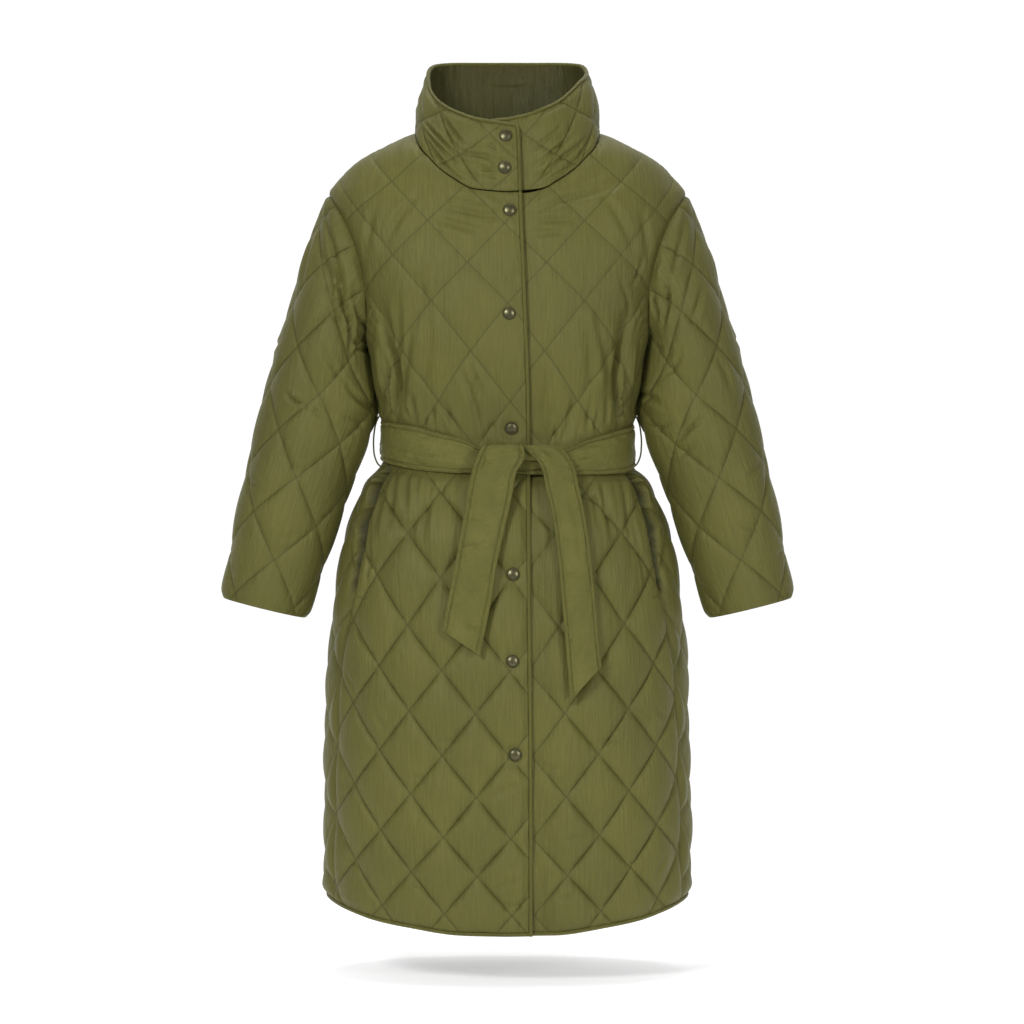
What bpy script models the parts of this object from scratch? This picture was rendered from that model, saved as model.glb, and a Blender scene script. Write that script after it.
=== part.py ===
"""A belted quilted coat, standing open in the round as if it were worn.

Metres, +Z up. The wearer faces -Y, so the wearer's right side is at -X. The origin is the point between
the shoulders, at the height of the neck, where the coat hangs on its wearer. Each cut and sewn piece is one
closed solid. Every quilted piece is a flat outline filled with its own lattice of stitch lines, laid on a
curved form, with the padding raised on its outer face over a plain inside.
"""

import math
from collections import namedtuple

import bmesh
import bpy
import numpy as np
from mathutils import Matrix, Vector, geometry

# ---------------------------------------------------------------- driving sizes

WALL = 0.0030               # cloth, padding and lining pressed together at a stitch line
PUFF = 0.0045               # how far the padding lifts the face between stitch lines
SETTLE = -0.0032            # level of the stitch lines under the form's full outline
SEAM_GAP = 0.0004           # between pieces that are sewn together
HALF_GAP = SEAM_GAP / 2
BASE_GAP = 0.0006           # the collar stands this far off the neck seam, which curves under it
UNDERARM_GAP = 0.0010       # the sleeve turns back sharply at the underarm and keeps this clear there
SEAM_PULL = 0.014           # over this distance a seam holds the padding down
BINDING = 0.0045            # width of the bound edges
LAP_SINK = 0.0064           # the lapped left front lies this far inside the right one
LAP_WIDTH = 0.046           # how far the fronts lie over each other
LAP_CLEAR = 0.003           # it stays down until this far past the right front's edge
LAP_EASE = 0.034            # over this distance the left front comes up from under the lap
LAP_PUFF = 0.4              # share of the padding that is left under the lap
BELT_THICK = 0.003
SNAP_RADIUS = 0.0075
SNAP_PRESS = 0.012          # the padding rises again over this distance round a snap cap
SNAP_RING = 0.0012          # the ring of points in the cloth round a cap stands this far outside it
THREAD = 0.0009             # radius of the thread belt carriers
KEEP_CLEAR = 0.003          # lattice points nearer than this to a cut edge are left out
SEAM_CLEAR = 0.007          # lines along the belt stop this far from the side seams

# ---------------------------------------------------------------- tables

Section = namedtuple("Section", "z half_width front back power")
SECTIONS = (                # horizontal sections of the coat, rounded as superellipses
    Section(0.030, 0.085, 0.062, 0.070, 2.0),
    Section(0.020, 0.100, 0.070, 0.076, 2.0),
    Section(0.009, 0.1115, 0.080, 0.082, 2.0),
    Section(-0.015, 0.146, 0.091, 0.091, 2.05),
    Section(-0.045, 0.188, 0.1005, 0.101, 2.1),
    Section(-0.0725, 0.2245, 0.107, 0.108, 2.25),
    Section(-0.100, 0.219, 0.112, 0.113, 2.45),
    Section(-0.150, 0.205, 0.118, 0.119, 2.6),
    Section(-0.200, 0.190, 0.1215, 0.121, 2.6),
    Section(-0.244, 0.178, 0.122, 0.120, 2.6),
    Section(-0.272, 0.1695, 0.121, 0.118, 2.55),
    Section(-0.302, 0.1625, 0.1185, 0.114, 2.5),
    Section(-0.325, 0.1575, 0.115, 0.110, 2.4),
    Section(-0.345, 0.1560, 0.110, 0.106, 2.35),
    Section(-0.375, 0.1550, 0.106, 0.102, 2.3),
    Section(-0.405, 0.1580, 0.109, 0.105, 2.3),
    Section(-0.4253, 0.1750, 0.121, 0.117, 2.3),
    Section(-0.454, 0.187, 0.131, 0.127, 2.3),
    Section(-0.484, 0.198, 0.138, 0.134, 2.3),
    Section(-0.546, 0.210, 0.146, 0.143, 2.25),
    Section(-0.620, 0.2182, 0.151, 0.148, 2.25),
    Section(-0.670, 0.2225, 0.153, 0.151, 2.25),
    Section(-0.800, 0.2250, 0.156, 0.155, 2.25),
    Section(-1.000, 0.2265, 0.158, 0.158, 2.25),
)

NeckRow = namedtuple("NeckRow", "turn z")
NECK_SEAM = (               # height of the collar seam, by degrees round the neck from the front
    NeckRow(0, -0.0724), NeckRow(9, -0.0683), NeckRow(16, -0.0580), NeckRow(24, -0.0450),
    NeckRow(38, -0.0250), NeckRow(60, -0.0040), NeckRow(90, 0.0090), NeckRow(135, 0.0165),
    NeckRow(180, 0.0200),
)

CollarRow = namedtuple("CollarRow", "turn x y z_right z_left")
COLLAR_TOP = (              # the collar's upper edge, by the same degrees
    CollarRow(0, 0.000, -0.0985, 0.0134, 0.0210),
    CollarRow(9, 0.038, -0.0925, 0.0203, 0.0305),
    CollarRow(16, 0.060, -0.0820, 0.0285, 0.0405),
    CollarRow(24, 0.076, -0.0685, 0.0375, 0.0535),
    CollarRow(38, 0.0905, -0.0470, 0.0515, 0.0700),
    CollarRow(60, 0.0990, -0.0220, 0.0700, 0.0800),
    CollarRow(90, 0.1015, 0.0060, 0.0870, 0.0880),
    CollarRow(115, 0.0970, 0.0320, 0.0975, 0.0980),
    CollarRow(145, 0.0680, 0.0640, 0.1040, 0.1040),
    CollarRow(180, 0.0000, 0.0790, 0.1060, 0.1060),
)
COLLAR_BULGE = 0.004             # how far the collar swells halfway up
COLLAR_LEAN = 1.1                # it swells this much more to the front and back than to the sides
COLLAR_ENDS = 0.0172, 0.0285     # how far its right and left ends go past centre front
COLLAR_CORNER = 0.009            # radius of its two upper corners
COLLAR_UNDER = 0.022             # its left end starts to come up from under the lap at this distance
COLLAR_SETTLE = 0.016            # from the seam up, it comes to the level of the stitch lines over this

NECK_FRONT = NECK_SEAM[0].z

HemRow = namedtuple("HemRow", "share z")
HEM = (                     # height of the hem, by the share of the way from centre front to centre back
    HemRow(0.0, -0.9700), HemRow(0.09, -0.9690), HemRow(0.20, -0.9610), HemRow(0.27, -0.9550),
    HemRow(0.34, -0.9465), HemRow(0.43, -0.9375), HemRow(0.50, -0.9345), HemRow(0.60, -0.9400),
    HemRow(0.72, -0.9530), HemRow(0.86, -0.9660), HemRow(1.0, -0.9700),
)
HEM_FRONT = HEM[0].z
HEM_LEVEL = -0.95                # the hem's lengths are measured round the coat at this height
SEAM_LOW, SEAM_REACH = -0.93, 0.31      # where the side seams meet the hem: height, way from centre front

EdgeRow = namedtuple("EdgeRow", "z edge")
FRONT_EDGE = (              # x of the right front's edge
    EdgeRow(0.060, 0.0165), EdgeRow(-0.0724, 0.0180), EdgeRow(-0.2054, 0.0232), EdgeRow(-0.360, 0.0280),
    EdgeRow(-0.536, 0.0283), EdgeRow(-0.746, 0.0303), EdgeRow(-0.970, 0.0308),
)
LAP_LINE = -0.962, -0.078        # ends of the line along which the left front comes out from under the lap

SideRow = namedtuple("SideRow", "z forward")
SIDE_SEAM = (               # how far the side seam lies in front of the coat's widest point
    SideRow(-0.244, 0.000), SideRow(-0.330, 0.012), SideRow(-0.405, 0.022), SideRow(-0.450, 0.040),
    SideRow(-0.500, 0.055), SideRow(-0.560, 0.066), SideRow(-0.610, 0.066), SideRow(-0.660, 0.060),
    SideRow(-0.760, 0.054), SideRow(-0.940, 0.048),
)
POCKET_TOP, POCKET_BOTTOM = -0.408, -0.562     # mouth of the pocket in the side seam
POCKET_GAPE = 0.0065                            # the front's edge stands this far off the back
POCKET_EASE = 0.050                             # and comes back to it over this length
POCKET_WIDTH = 0.040                            # the front stands off over this width beside its edge
POCKET_SINK, POCKET_SINK_WIDTH = 0.0030, 0.030  # the back gives way behind the mouth
UNDERLAP = 0.010                                # the back runs in behind the mouth this far

QuiltRow = namedtuple("QuiltRow", "row z rise right left pitch")
BODY_QUILT = (              # lattice rows: height, rise at the sides, columns' origins, half width
    QuiltRow(-6, 0.140, 0.000, -0.0040, 0.0005, 0.0470),
    QuiltRow(-2, -0.0171, 0.010, -0.0040, 0.0005, 0.0470),
    QuiltRow(-1, -0.0632, 0.022, -0.0040, 0.0005, 0.0470),
    QuiltRow(0, -0.1109, 0.034, -0.0035, 0.0005, 0.0470),
    QuiltRow(1, -0.1594, 0.038, -0.0015, 0.0005, 0.0470),
    QuiltRow(2, -0.2090, 0.036, 0.0005, 0.0005, 0.0470),
    QuiltRow(3, -0.2669, 0.030, 0.0020, -0.0015, 0.0470),
    QuiltRow(4, -0.3283, 0.020, 0.0035, -0.0020, 0.0445),
    QuiltRow(5, -0.3827, 0.010, 0.0040, 0.0040, 0.0430),
    QuiltRow(6, -0.4371, 0.008, 0.0040, 0.0110, 0.0430),
    QuiltRow(7, -0.4878, 0.008, 0.0040, 0.0150, 0.0430),
    QuiltRow(8, -0.5406, 0.010, 0.0040, 0.0180, 0.0430),
    QuiltRow(9, -0.5994, 0.012, 0.0035, 0.0200, 0.0425),
    QuiltRow(10, -0.6519, 0.014, 0.0028, 0.0260, 0.0415),
    QuiltRow(11, -0.7034, 0.016, 0.0028, 0.0285, 0.0413),
    QuiltRow(12, -0.7548, 0.018, 0.0030, 0.0300, 0.0412),
    QuiltRow(13, -0.8037, 0.020, 0.0036, 0.0305, 0.0410),
    QuiltRow(14, -0.8527, 0.022, 0.0042, 0.0310, 0.0410),
    QuiltRow(15, -0.8982, 0.024, 0.0048, 0.0320, 0.0410),
    QuiltRow(16, -0.9448, 0.026, 0.0054, 0.0330, 0.0410),
    QuiltRow(18, -1.0400, 0.030, 0.0060, 0.0340, 0.0410),
)
BODY_DIAMOND = 0.0430, 0.0500    # half the width and height of the body's usual diamond
RISE_REACH, RISE_POWER = 0.24, 2.4      # the rows of the body's lattice rise towards the sides
SLEEVE_QUILT_WIDTH, SLEEVE_QUILT_HEIGHT = 0.083, 0.1045
SLEEVE_QUILT_START = 0.0622      # height above the cuff of a crossing on the sleeve's front middle line
COLLAR_QUILT_HEIGHT = 0.073
COLLAR_CROSSING = 0.0634, 0.0345     # a crossing of the collar's lattice: from centre front, above the seam
COLLAR_DIAMONDS = 7              # between that crossing and its mirror image, round the back

SleeveRow = namedtuple("SleeveRow", "outer_x outer_z inner_x inner_z front back forward bow")
SLEEVE = (                  # sleeve sections from the armhole (first row) to the cuff (last)
    SleeveRow(0.2243, -0.0715, 0.1785, -0.2440, 0.069, 0.069, 0.000, 0.0185),
    SleeveRow(0.2400, -0.1090, 0.1765, -0.2585, 0.073, 0.071, 0.000, 0.0120),
    SleeveRow(0.2530, -0.1451, 0.1755, -0.2720, 0.075, 0.072, 0.001, 0.0070),
    SleeveRow(0.2645, -0.1860, 0.1725, -0.2860, 0.075, 0.072, 0.002, 0.0030),
    SleeveRow(0.2805, -0.2375, 0.1685, -0.3020, 0.073, 0.070, 0.003, 0.0000),
    SleeveRow(0.2935, -0.2864, 0.1645, -0.3205, 0.070, 0.068, 0.004, 0.0000),
    SleeveRow(0.3000, -0.3100, 0.1628, -0.3430, 0.068, 0.066, 0.005, 0.0000),
    SleeveRow(0.3060, -0.3330, 0.1695, -0.3680, 0.066, 0.064, 0.006, 0.0000),
    SleeveRow(0.3165, -0.3770, 0.1850, -0.4105, 0.064, 0.061, 0.007, 0.0000),
    SleeveRow(0.3325, -0.4452, 0.2080, -0.4773, 0.061, 0.058, 0.010, 0.0000),
    SleeveRow(0.3455, -0.5196, 0.2318, -0.5490, 0.056, 0.053, 0.013, 0.0000),
    SleeveRow(0.3545, -0.5663, 0.2470, -0.5930, 0.052, 0.049, 0.015, 0.0000),
)
ARMHOLE_BACK_BOW = 0.012
SLEEVE_RADIUS = 0.066            # turns degrees round the sleeve into cloth width
SLEEVE_SEAM_TURN = 9             # degrees by which the sleeve's seam lies behind its inner line
SLEEVE_SETTLE = 0.018            # from the armhole, it comes to the level of the stitch lines over this
SLEEVE_SQUARE = 0.012            # its wall stands square to the body over this distance from the armhole
SLEEVE_CUFF_SPREAD, SLEEVE_ARM_SPREAD = 0.806, 1.040     # width at cuff and upper arm, against the radius
SLEEVE_SPREAD_REACH = 0.27       # the sleeve widens over this length from the cuff up
HANG_TURN, HANG_EASE = 150, 60   # degrees from the shoulder: the sleeve stops carrying its line on

BeltRow = namedtuple("BeltRow", "along top bottom")
BELT = (                    # belt round the waist: distance from centre front, upper and lower edge
    BeltRow(-0.420, -0.343, -0.393), BeltRow(-0.300, -0.344, -0.394), BeltRow(-0.205, -0.348, -0.397),
    BeltRow(-0.121, -0.356, -0.409), BeltRow(-0.0925, -0.363, -0.412), BeltRow(-0.0545, -0.3724, -0.414),
    BeltRow(-0.0272, -0.385, -0.414), BeltRow(0.000, -0.3875, -0.4145), BeltRow(0.063, -0.3868, -0.4157),
    BeltRow(0.103, -0.372, -0.4157), BeltRow(0.140, -0.363, -0.4145), BeltRow(0.205, -0.353, -0.405),
    BeltRow(0.300, -0.346, -0.396), BeltRow(0.420, -0.343, -0.393),
)
WAIST, BELT_BACK = -0.38, -0.37  # height of the side seams at the belt, and of the belt at centre back
BELT_LIFT = 0.0012               # of the belt's inner face off the cloth it presses down
BELT_CLEAR = 0.0006              # the cloth stays pressed flat this far beside the belt
BELT_PRESS = 0.012               # the padding rises again over this distance beside the belt
BELT_CORNER = 0.05               # share of the belt's width by which its outer face is narrower
BELT_LINE_STEP = 0.018

BeltLine = namedtuple("BeltLine", "share away")
BELT_LINES = (              # lines in the cloth along the belt: share of its width, and distance above that
    BeltLine(0.0, 0.0005), BeltLine(0.5, 0.0), BeltLine(1.0, -0.0005), BeltLine(1.0, -0.021),
)

ShoulderLine = namedtuple("ShoulderLine", "away top")
SHOULDER_LINES = ShoulderLine(0.012, -0.004), ShoulderLine(0.028, -0.012), ShoulderLine(0.048, -0.034)
SHOULDER_LOW = -0.072

TailRow = namedtuple("TailRow", "left_x left_z right_x right_z stand")
TAIL_RIGHT = (              # the tail on the wearer's right: its two edges, and its distance off the coat
    TailRow(-0.0250, -0.4010, 0.0170, -0.4010, 0.0140),
    TailRow(-0.0262, -0.3880, 0.0172, -0.3880, 0.0145),
    TailRow(-0.0271, -0.3815, 0.0174, -0.3805, 0.0180),
    TailRow(-0.0300, -0.3860, 0.0188, -0.3850, 0.0215),
    TailRow(-0.0349, -0.3987, 0.0200, -0.3960, 0.0225),
    TailRow(-0.0427, -0.4276, 0.0102, -0.4240, 0.0190),
    TailRow(-0.0470, -0.4480, 0.0062, -0.4440, 0.0160),
    TailRow(-0.0535, -0.4829, -0.0018, -0.4790, 0.0135),
    TailRow(-0.0619, -0.5298, -0.0120, -0.5250, 0.0125),
    TailRow(-0.0691, -0.5670, -0.0192, -0.5700, 0.0120),
    TailRow(-0.0763, -0.6025, -0.0318, -0.6338, 0.0120),
)
TAIL_LEFT = (
    TailRow(0.0170, -0.4000, 0.0590, -0.4010, 0.0092),
    TailRow(0.0150, -0.3880, 0.0600, -0.3890, 0.0094),
    TailRow(0.0140, -0.3815, 0.0619, -0.3831, 0.0108),
    TailRow(0.0200, -0.3865, 0.0660, -0.3890, 0.0137),
    TailRow(0.0319, -0.3987, 0.0716, -0.3987, 0.0162),
    TailRow(0.0379, -0.4143, 0.0764, -0.4143, 0.0167),
    TailRow(0.0445, -0.4384, 0.0824, -0.4384, 0.0162),
    TailRow(0.0511, -0.4642, 0.0884, -0.4642, 0.0147),
    TailRow(0.0553, -0.4901, 0.0932, -0.4901, 0.0137),
    TailRow(0.0601, -0.5322, 0.0980, -0.5322, 0.0132),
    TailRow(0.0661, -0.6026, 0.1046, -0.6026, 0.0132),
    TailRow(0.0728, -0.6862, 0.1088, -0.6465, 0.0132),
)

TAIL_CORNER = 0.04               # share of a tail's width by which its faces are narrower than its middle

KNOT_LEFT, KNOT_WIDTH = -0.024, 0.080
KNOT_Z, KNOT_HALF_HEIGHT = -0.4005, 0.0115
KNOT_OFF, KNOT_HALF_THICK = 0.0052, 0.0013      # its middle off the coat, and half its thickness
KNOT_END = 0.15                  # how blunt its ends are

FoldRow = namedtuple("FoldRow", "side depth width path")
FOLDS = (                   # deep folds over the belt: depth, half width, and a path of (x, z) points
    FoldRow(-1, 0.0110, 0.0120,
            ((0.1560, -0.212), (0.1500, -0.236), (0.1430, -0.268), (0.1340, -0.300), (0.1345, -0.342))),
    FoldRow(1, 0.0110, 0.0120,
            ((0.1500, -0.212), (0.1440, -0.236), (0.1390, -0.268), (0.1330, -0.300), (0.1380, -0.346))),
)

FOLD_START, FOLD_RUN = 0.05, 0.87     # a fold is deepest midway and fades out towards its lower end
FOLD_FALL = 1.6                       # how steeply its sides fall

SnapRow = namedtuple("SnapRow", "x z on_collar")
SNAPS = (
    SnapRow(-0.0024, -0.0039, True), SnapRow(-0.0030, -0.0433, True), SnapRow(0.0027, -0.0950, False),
    SnapRow(0.0022, -0.2211, False), SnapRow(0.0050, -0.3597, False), SnapRow(0.0069, -0.5353, False),
    SnapRow(0.0062, -0.6399, False), SnapRow(0.0095, -0.7517, False),
)

CLOTH_COLOUR = (0.094, 0.100, 0.036)
METAL_COLOUR = (0.16, 0.15, 0.08)


# ---------------------------------------------------------------- smooth tables and curved forms

class Curve:
    """A smooth line through a table's values that never swings past them."""

    def __init__(self, at, values):
        order = np.argsort(at)
        self.at = np.array(at, dtype=float)[order]
        self.values = np.array(values, dtype=float)[order]
        rise = np.diff(self.values) / np.diff(self.at)
        self.slopes = np.concatenate(([rise[0]], np.zeros(len(rise) - 1), [rise[-1]]))
        before, after = rise[:-1], rise[1:]
        same_way = before * after > 0
        mean = 2 * before[same_way] * after[same_way] / (before[same_way] + after[same_way])
        self.slopes[1:-1][same_way] = mean

    def __call__(self, at):
        at = np.clip(at, self.at[0], self.at[-1])
        i = np.clip(np.searchsorted(self.at, at) - 1, 0, len(self.at) - 2)
        width = self.at[i + 1] - self.at[i]
        t = (at - self.at[i]) / width
        start = self.values[i] * (1 + 2 * t) + width * self.slopes[i] * t
        end = self.values[i + 1] * (3 - 2 * t) - width * self.slopes[i + 1] * (1 - t)
        return start * (1 - t) ** 2 + end * t ** 2


def columns(table):
    """One Curve for each column of a table, read at values of its first column."""
    names = table[0]._fields
    first = [getattr(row, names[0]) for row in table]
    Table = namedtuple("Table", names[1:])
    return Table(*(Curve(first, [getattr(row, name) for row in table]) for name in names[1:]))


def smooth(share):
    share = np.clip(share, 0.0, 1.0)
    return share * share * (3 - 2 * share)


SECTION, NECK, COLLAR_EDGE, HEM_LINE = columns(SECTIONS), columns(NECK_SEAM), columns(COLLAR_TOP), columns(HEM)
EDGE, SIDE, BELT_EDGE, QUILT_ROW = columns(FRONT_EDGE), columns(SIDE_SEAM), columns(BELT), columns(BODY_QUILT)
ROW_AT = Curve([row.z for row in BODY_QUILT], [row.row for row in BODY_QUILT])


class Form:
    """A curved surface: at each station one curve, measured along its own length."""

    SAMPLES = 161
    STEP = 0.003

    def __init__(self, stations, curves, outward=1):
        self.stations = np.array(stations, dtype=float)
        self.outward = outward
        lengths, grid = [], []
        for curve in curves:
            steps = np.linalg.norm(np.diff(curve, axis=0), axis=1)
            reach = np.concatenate(([0.0], np.cumsum(steps)))
            share = np.linspace(0.0, reach[-1], self.SAMPLES)
            grid.append(np.column_stack([np.interp(share, reach, curve[:, axis]) for axis in range(3)]))
            lengths.append(reach[-1])
        self.lengths, self.grid = np.array(lengths), np.array(grid)

    def length(self, station):
        return np.interp(station, self.stations, self.lengths)

    def point(self, station, along):
        station, along = np.atleast_1d(station).astype(float), np.atleast_1d(along).astype(float)
        rows, last = len(self.stations), self.SAMPLES - 1
        row = np.interp(station, self.stations, np.arange(rows))
        column = np.clip(along / self.length(station), 0.0, 1.0) * last
        i = np.minimum(row.astype(int), rows - 2)
        j = np.minimum(column.astype(int), last - 1)
        down, across = (row - i)[:, None], (column - j)[:, None]
        upper = self.grid[i, j] * (1 - across) + self.grid[i, j + 1] * across
        lower = self.grid[i + 1, j] * (1 - across) + self.grid[i + 1, j + 1] * across
        return upper * (1 - down) + lower * down

    def normal(self, station, along):
        station, along = np.atleast_1d(station), np.atleast_1d(along)
        by_station = self.point(station + self.STEP, along) - self.point(station - self.STEP, along)
        by_along = self.point(station, along + self.STEP) - self.point(station, along - self.STEP)
        normal = np.cross(by_along, by_station) * self.outward
        return normal / np.maximum(np.linalg.norm(normal, axis=1, keepdims=True), 1e-9)


class BodyForm(Form):
    """The coat's body. Stations are heights; lengths run from centre front, plus to the wearer's left."""

    def __init__(self):
        heights = np.linspace(SECTIONS[-1].z, SECTIONS[0].z, 260)
        curves = [self.section(z) for z in heights]
        super().__init__(heights, curves)
        fronts = [curve[:len(curve) // 2 + 1] for curve in curves]
        self.quarters = [np.linalg.norm(np.diff(front, axis=0), axis=1).sum() for front in fronts]

    @staticmethod
    def section(z):
        turn = np.linspace(0.0, math.pi, 241)
        power = 2 / SECTION.power(z)
        depth = np.where(turn < math.pi / 2, -SECTION.front(z), SECTION.back(z))
        x = SECTION.half_width(z) * np.abs(np.sin(turn)) ** power
        return np.column_stack([x, depth * np.abs(np.cos(turn)) ** power, np.full_like(x, z)])

    def point(self, z, along):
        z, along = np.atleast_1d(z), np.atleast_1d(along)
        half = self.length(z)
        wrapped = (along + half) % (2 * half) - half
        point = super().point(z, np.abs(wrapped))
        point[:, 0] *= np.where(wrapped < 0, -1, 1)
        return point

    def side(self, z):
        """The distance from centre front to the widest point."""
        return np.interp(z, self.stations, self.quarters)

    def column(self, z, shares):
        return super().point(np.full_like(shares, z), shares * self.length(z))[:, 0]

    def along(self, x, z):
        """The distance from centre front to a point of the front half that is given by x and height."""
        x, z = np.atleast_1d(x), np.atleast_1d(z)
        found = []
        for one_x, one_z in zip(x, z):
            shares = np.linspace(0.0, float(self.side(one_z) / self.length(one_z)), 120)
            across = np.maximum.accumulate(self.column(one_z, shares))
            share = np.interp(abs(one_x) / SECTION.half_width(one_z), across / across[-1], shares)
            found.append(math.copysign(share * self.length(one_z), one_x))
        return np.array(found)


BODY = BodyForm()


# ---------------------------------------------------------------- seams, as (height, along)

def neck_seam(turn):
    """The collar seam on the body, at a number of degrees round the neck from centre front."""
    turn = np.atleast_1d(turn)
    z = NECK.z(np.abs(turn))
    radians = np.radians(np.abs(turn))
    power = 2 / SECTION.power(z)
    x = SECTION.half_width(z) * np.abs(np.sin(radians)) ** power
    front = BODY.along(np.where(turn < 0, -1, 1) * np.maximum(x, 1e-6), z)
    along = np.where(np.abs(turn) <= 90, np.abs(front), 2 * BODY.side(z) - np.abs(front))
    return z, along * np.where(turn < 0, -1, 1)


def armhole_seam(turn):
    """The armhole of the wearer's right side: 0 at the shoulder, 90 in front, 180 at the underarm."""
    turn = np.radians(np.atleast_1d(turn))
    top, under = SLEEVE[0][:2], SLEEVE[0][2:4]
    middle = np.array([top[0] + under[0], top[1] + under[1]]) / 2
    reach = np.array([top[0] - under[0], top[1] - under[1]]) / 2
    inward = np.array([-reach[1], reach[0]]) / np.linalg.norm(reach)
    bow = np.where(np.sin(turn) > 0, SLEEVE[0].bow, ARMHOLE_BACK_BOW) * np.sin(turn) ** 2
    x = middle[0] + reach[0] * np.cos(turn) + inward[0] * bow
    z = middle[1] + reach[1] * np.cos(turn) + inward[1] * bow
    front = np.abs(BODY.along(x, z))
    return z, -np.where(np.sin(turn) >= 0, front, 2 * BODY.side(z) - front)


def side_seam(z):
    return BODY.side(z) - SIDE.forward(z)


def hem_height(along):
    half = BODY.length(HEM_LEVEL)
    wrapped = (np.asarray(along) + half) % (2 * half) - half
    return HEM_LINE.z(np.abs(wrapped) / half)


def pocket_share(z):
    """0 outside the pocket's mouth, 1 along the middle of it."""
    into = np.minimum(POCKET_TOP - np.asarray(z), np.asarray(z) - POCKET_BOTTOM)
    return smooth(into / POCKET_EASE)


# ---------------------------------------------------------------- quilting

class Quilt:
    """A lattice of diamonds. Its crossings lie where column + row is even."""

    FLAT = 0.013             # the padding rises to its full height over this distance

    def __init__(self, width, height, origin=0.0, start=0.0, spread=None):
        self.half_width, self.half_height = width / 2, height / 2
        self.origin, self.start, self.spread = origin, start, spread or (lambda up: 1.0)

    def place(self, column, row):
        """From lattice numbers to (station, along)."""
        up = self.start + row * self.half_height
        return self.origin + column * self.half_width / self.spread(up), up

    def read(self, station, along):
        row = (along - self.start) / self.half_height
        return (station - self.origin) * self.spread(along) / self.half_width, row

    def size(self):
        return self.half_width, self.half_height

    def puff(self, station, along):
        """0 on a stitch line, 1 on the middle of a diamond."""
        column, row = self.read(station, along)
        half_width, half_height = self.size()
        across = half_width * half_height / math.hypot(half_width, half_height)
        lift = 1.0
        for line in ((row + column) / 2, (row - column) / 2):
            near = np.abs(line - np.round(line)) * 2 * across
            lift = lift * (1 - (1 - np.minimum(near / self.FLAT, 1.0)) ** 2)
        return lift


class BodyQuilt(Quilt):
    """The body's lattice: rows read from a table of heights, columns from the fronts' own origins."""

    def __init__(self, panel):
        self.panel = panel

    def origin_at(self, row):
        if self.panel == "back":
            return 0.0
        return QUILT_ROW.right(row) if self.panel == "right" else QUILT_ROW.left(row)

    def rise(self, row, along):
        return QUILT_ROW.rise(row) * (np.abs(along) / RISE_REACH) ** RISE_POWER

    def place(self, column, row):
        along = self.origin_at(row) + column * QUILT_ROW.pitch(row)
        return QUILT_ROW.z(row) + self.rise(row, along), along

    def read(self, z, along):
        row = ROW_AT(z)
        for _ in range(8):
            row = ROW_AT(z - self.rise(row, along))
        return (along - self.origin_at(row)) / QUILT_ROW.pitch(row), row

    def size(self):
        return BODY_DIAMOND


# ---------------------------------------------------------------- cutting a piece out of quilted cloth

def distance_to(line, points):
    """The distance from each point to a closed line, and whether the point is inside it."""
    start, end = line, np.roll(line, -1, axis=0)
    nearest = np.full(len(points), 1e9)
    inside = np.zeros(len(points), dtype=bool)
    for a, b in zip(start, end):
        edge = b - a
        share = np.clip(((points - a) @ edge) / max(edge @ edge, 1e-12), 0.0, 1.0)
        nearest = np.minimum(nearest, np.linalg.norm(points - a - share[:, None] * edge, axis=1))
        crosses = (a[1] > points[:, 1]) != (b[1] > points[:, 1])
        with np.errstate(divide="ignore", invalid="ignore"):
            at = a[0] + (points[:, 1] - a[1]) * edge[0] / edge[1]
        inside ^= crosses & (points[:, 0] < at)
    return nearest, inside


def inset(outline, gap):
    """A closed outline, turned anticlockwise and moved inwards by a gap."""
    following = np.roll(outline, -1, axis=0)
    if np.sum(outline[:, 0] * following[:, 1] - outline[:, 1] * following[:, 0]) < 0:
        outline = outline[::-1]
    before, after = outline - np.roll(outline, 1, axis=0), np.roll(outline, -1, axis=0) - outline
    before /= np.linalg.norm(before, axis=1, keepdims=True)
    after /= np.linalg.norm(after, axis=1, keepdims=True)
    left = np.column_stack([-(before + after)[:, 1], (before + after)[:, 0]])
    left /= np.maximum(np.linalg.norm(left, axis=1, keepdims=True), 1e-9)
    return outline + left * gap


def triangles_of(outline, points, lines):
    """Triangles inside a closed outline that keep every given line as an edge."""
    everything = [Vector(p) for p in outline] + [Vector(p) for p in points]
    count = len(outline)
    shifted = [(a + count, b + count) for a, b in lines]
    result = geometry.delaunay_2d_cdt(everything, shifted, [list(range(count))], 0, 1e-6)
    vertices, _, faces, _, _, sources = result
    inside = [face for face, source in zip(faces, sources) if source]
    return np.array([tuple(v) for v in vertices]), inside


def rim_of(faces):
    """The closed loop of vertices round a set of triangles."""
    edges = {}
    for face in faces:
        for a, b in zip(face, face[1:] + face[:1]):
            edges[(a, b)] = True
    following = {a: b for a, b in edges if (b, a) not in edges}
    start = next(iter(following))
    loop = [start]
    while following[loop[-1]] != start:
        loop.append(following[loop[-1]])
    return loop


def lattice_lines(quilt, outline, parts):
    """Points and lines of the lattice near an outline; parts are the shares of a diamond that get a line."""
    column, row = quilt.read(outline[:, 0], outline[:, 1])
    low_p, high_p = math.floor((row + column).min() / 2) - 1, math.ceil((row + column).max() / 2) + 1
    low_q, high_q = math.floor((row - column).min() / 2) - 1, math.ceil((row - column).max() / 2) + 1
    p_values = [whole + part for whole in range(low_p, high_p) for part in parts]
    q_values = [whole + part for whole in range(low_q, high_q) for part in parts]
    p, q = np.meshgrid(p_values, q_values, indexing="ij")
    station, along = quilt.place((p - q).ravel(), (p + q).ravel())
    return np.column_stack([station, along]), len(p_values), len(q_values)


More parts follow.
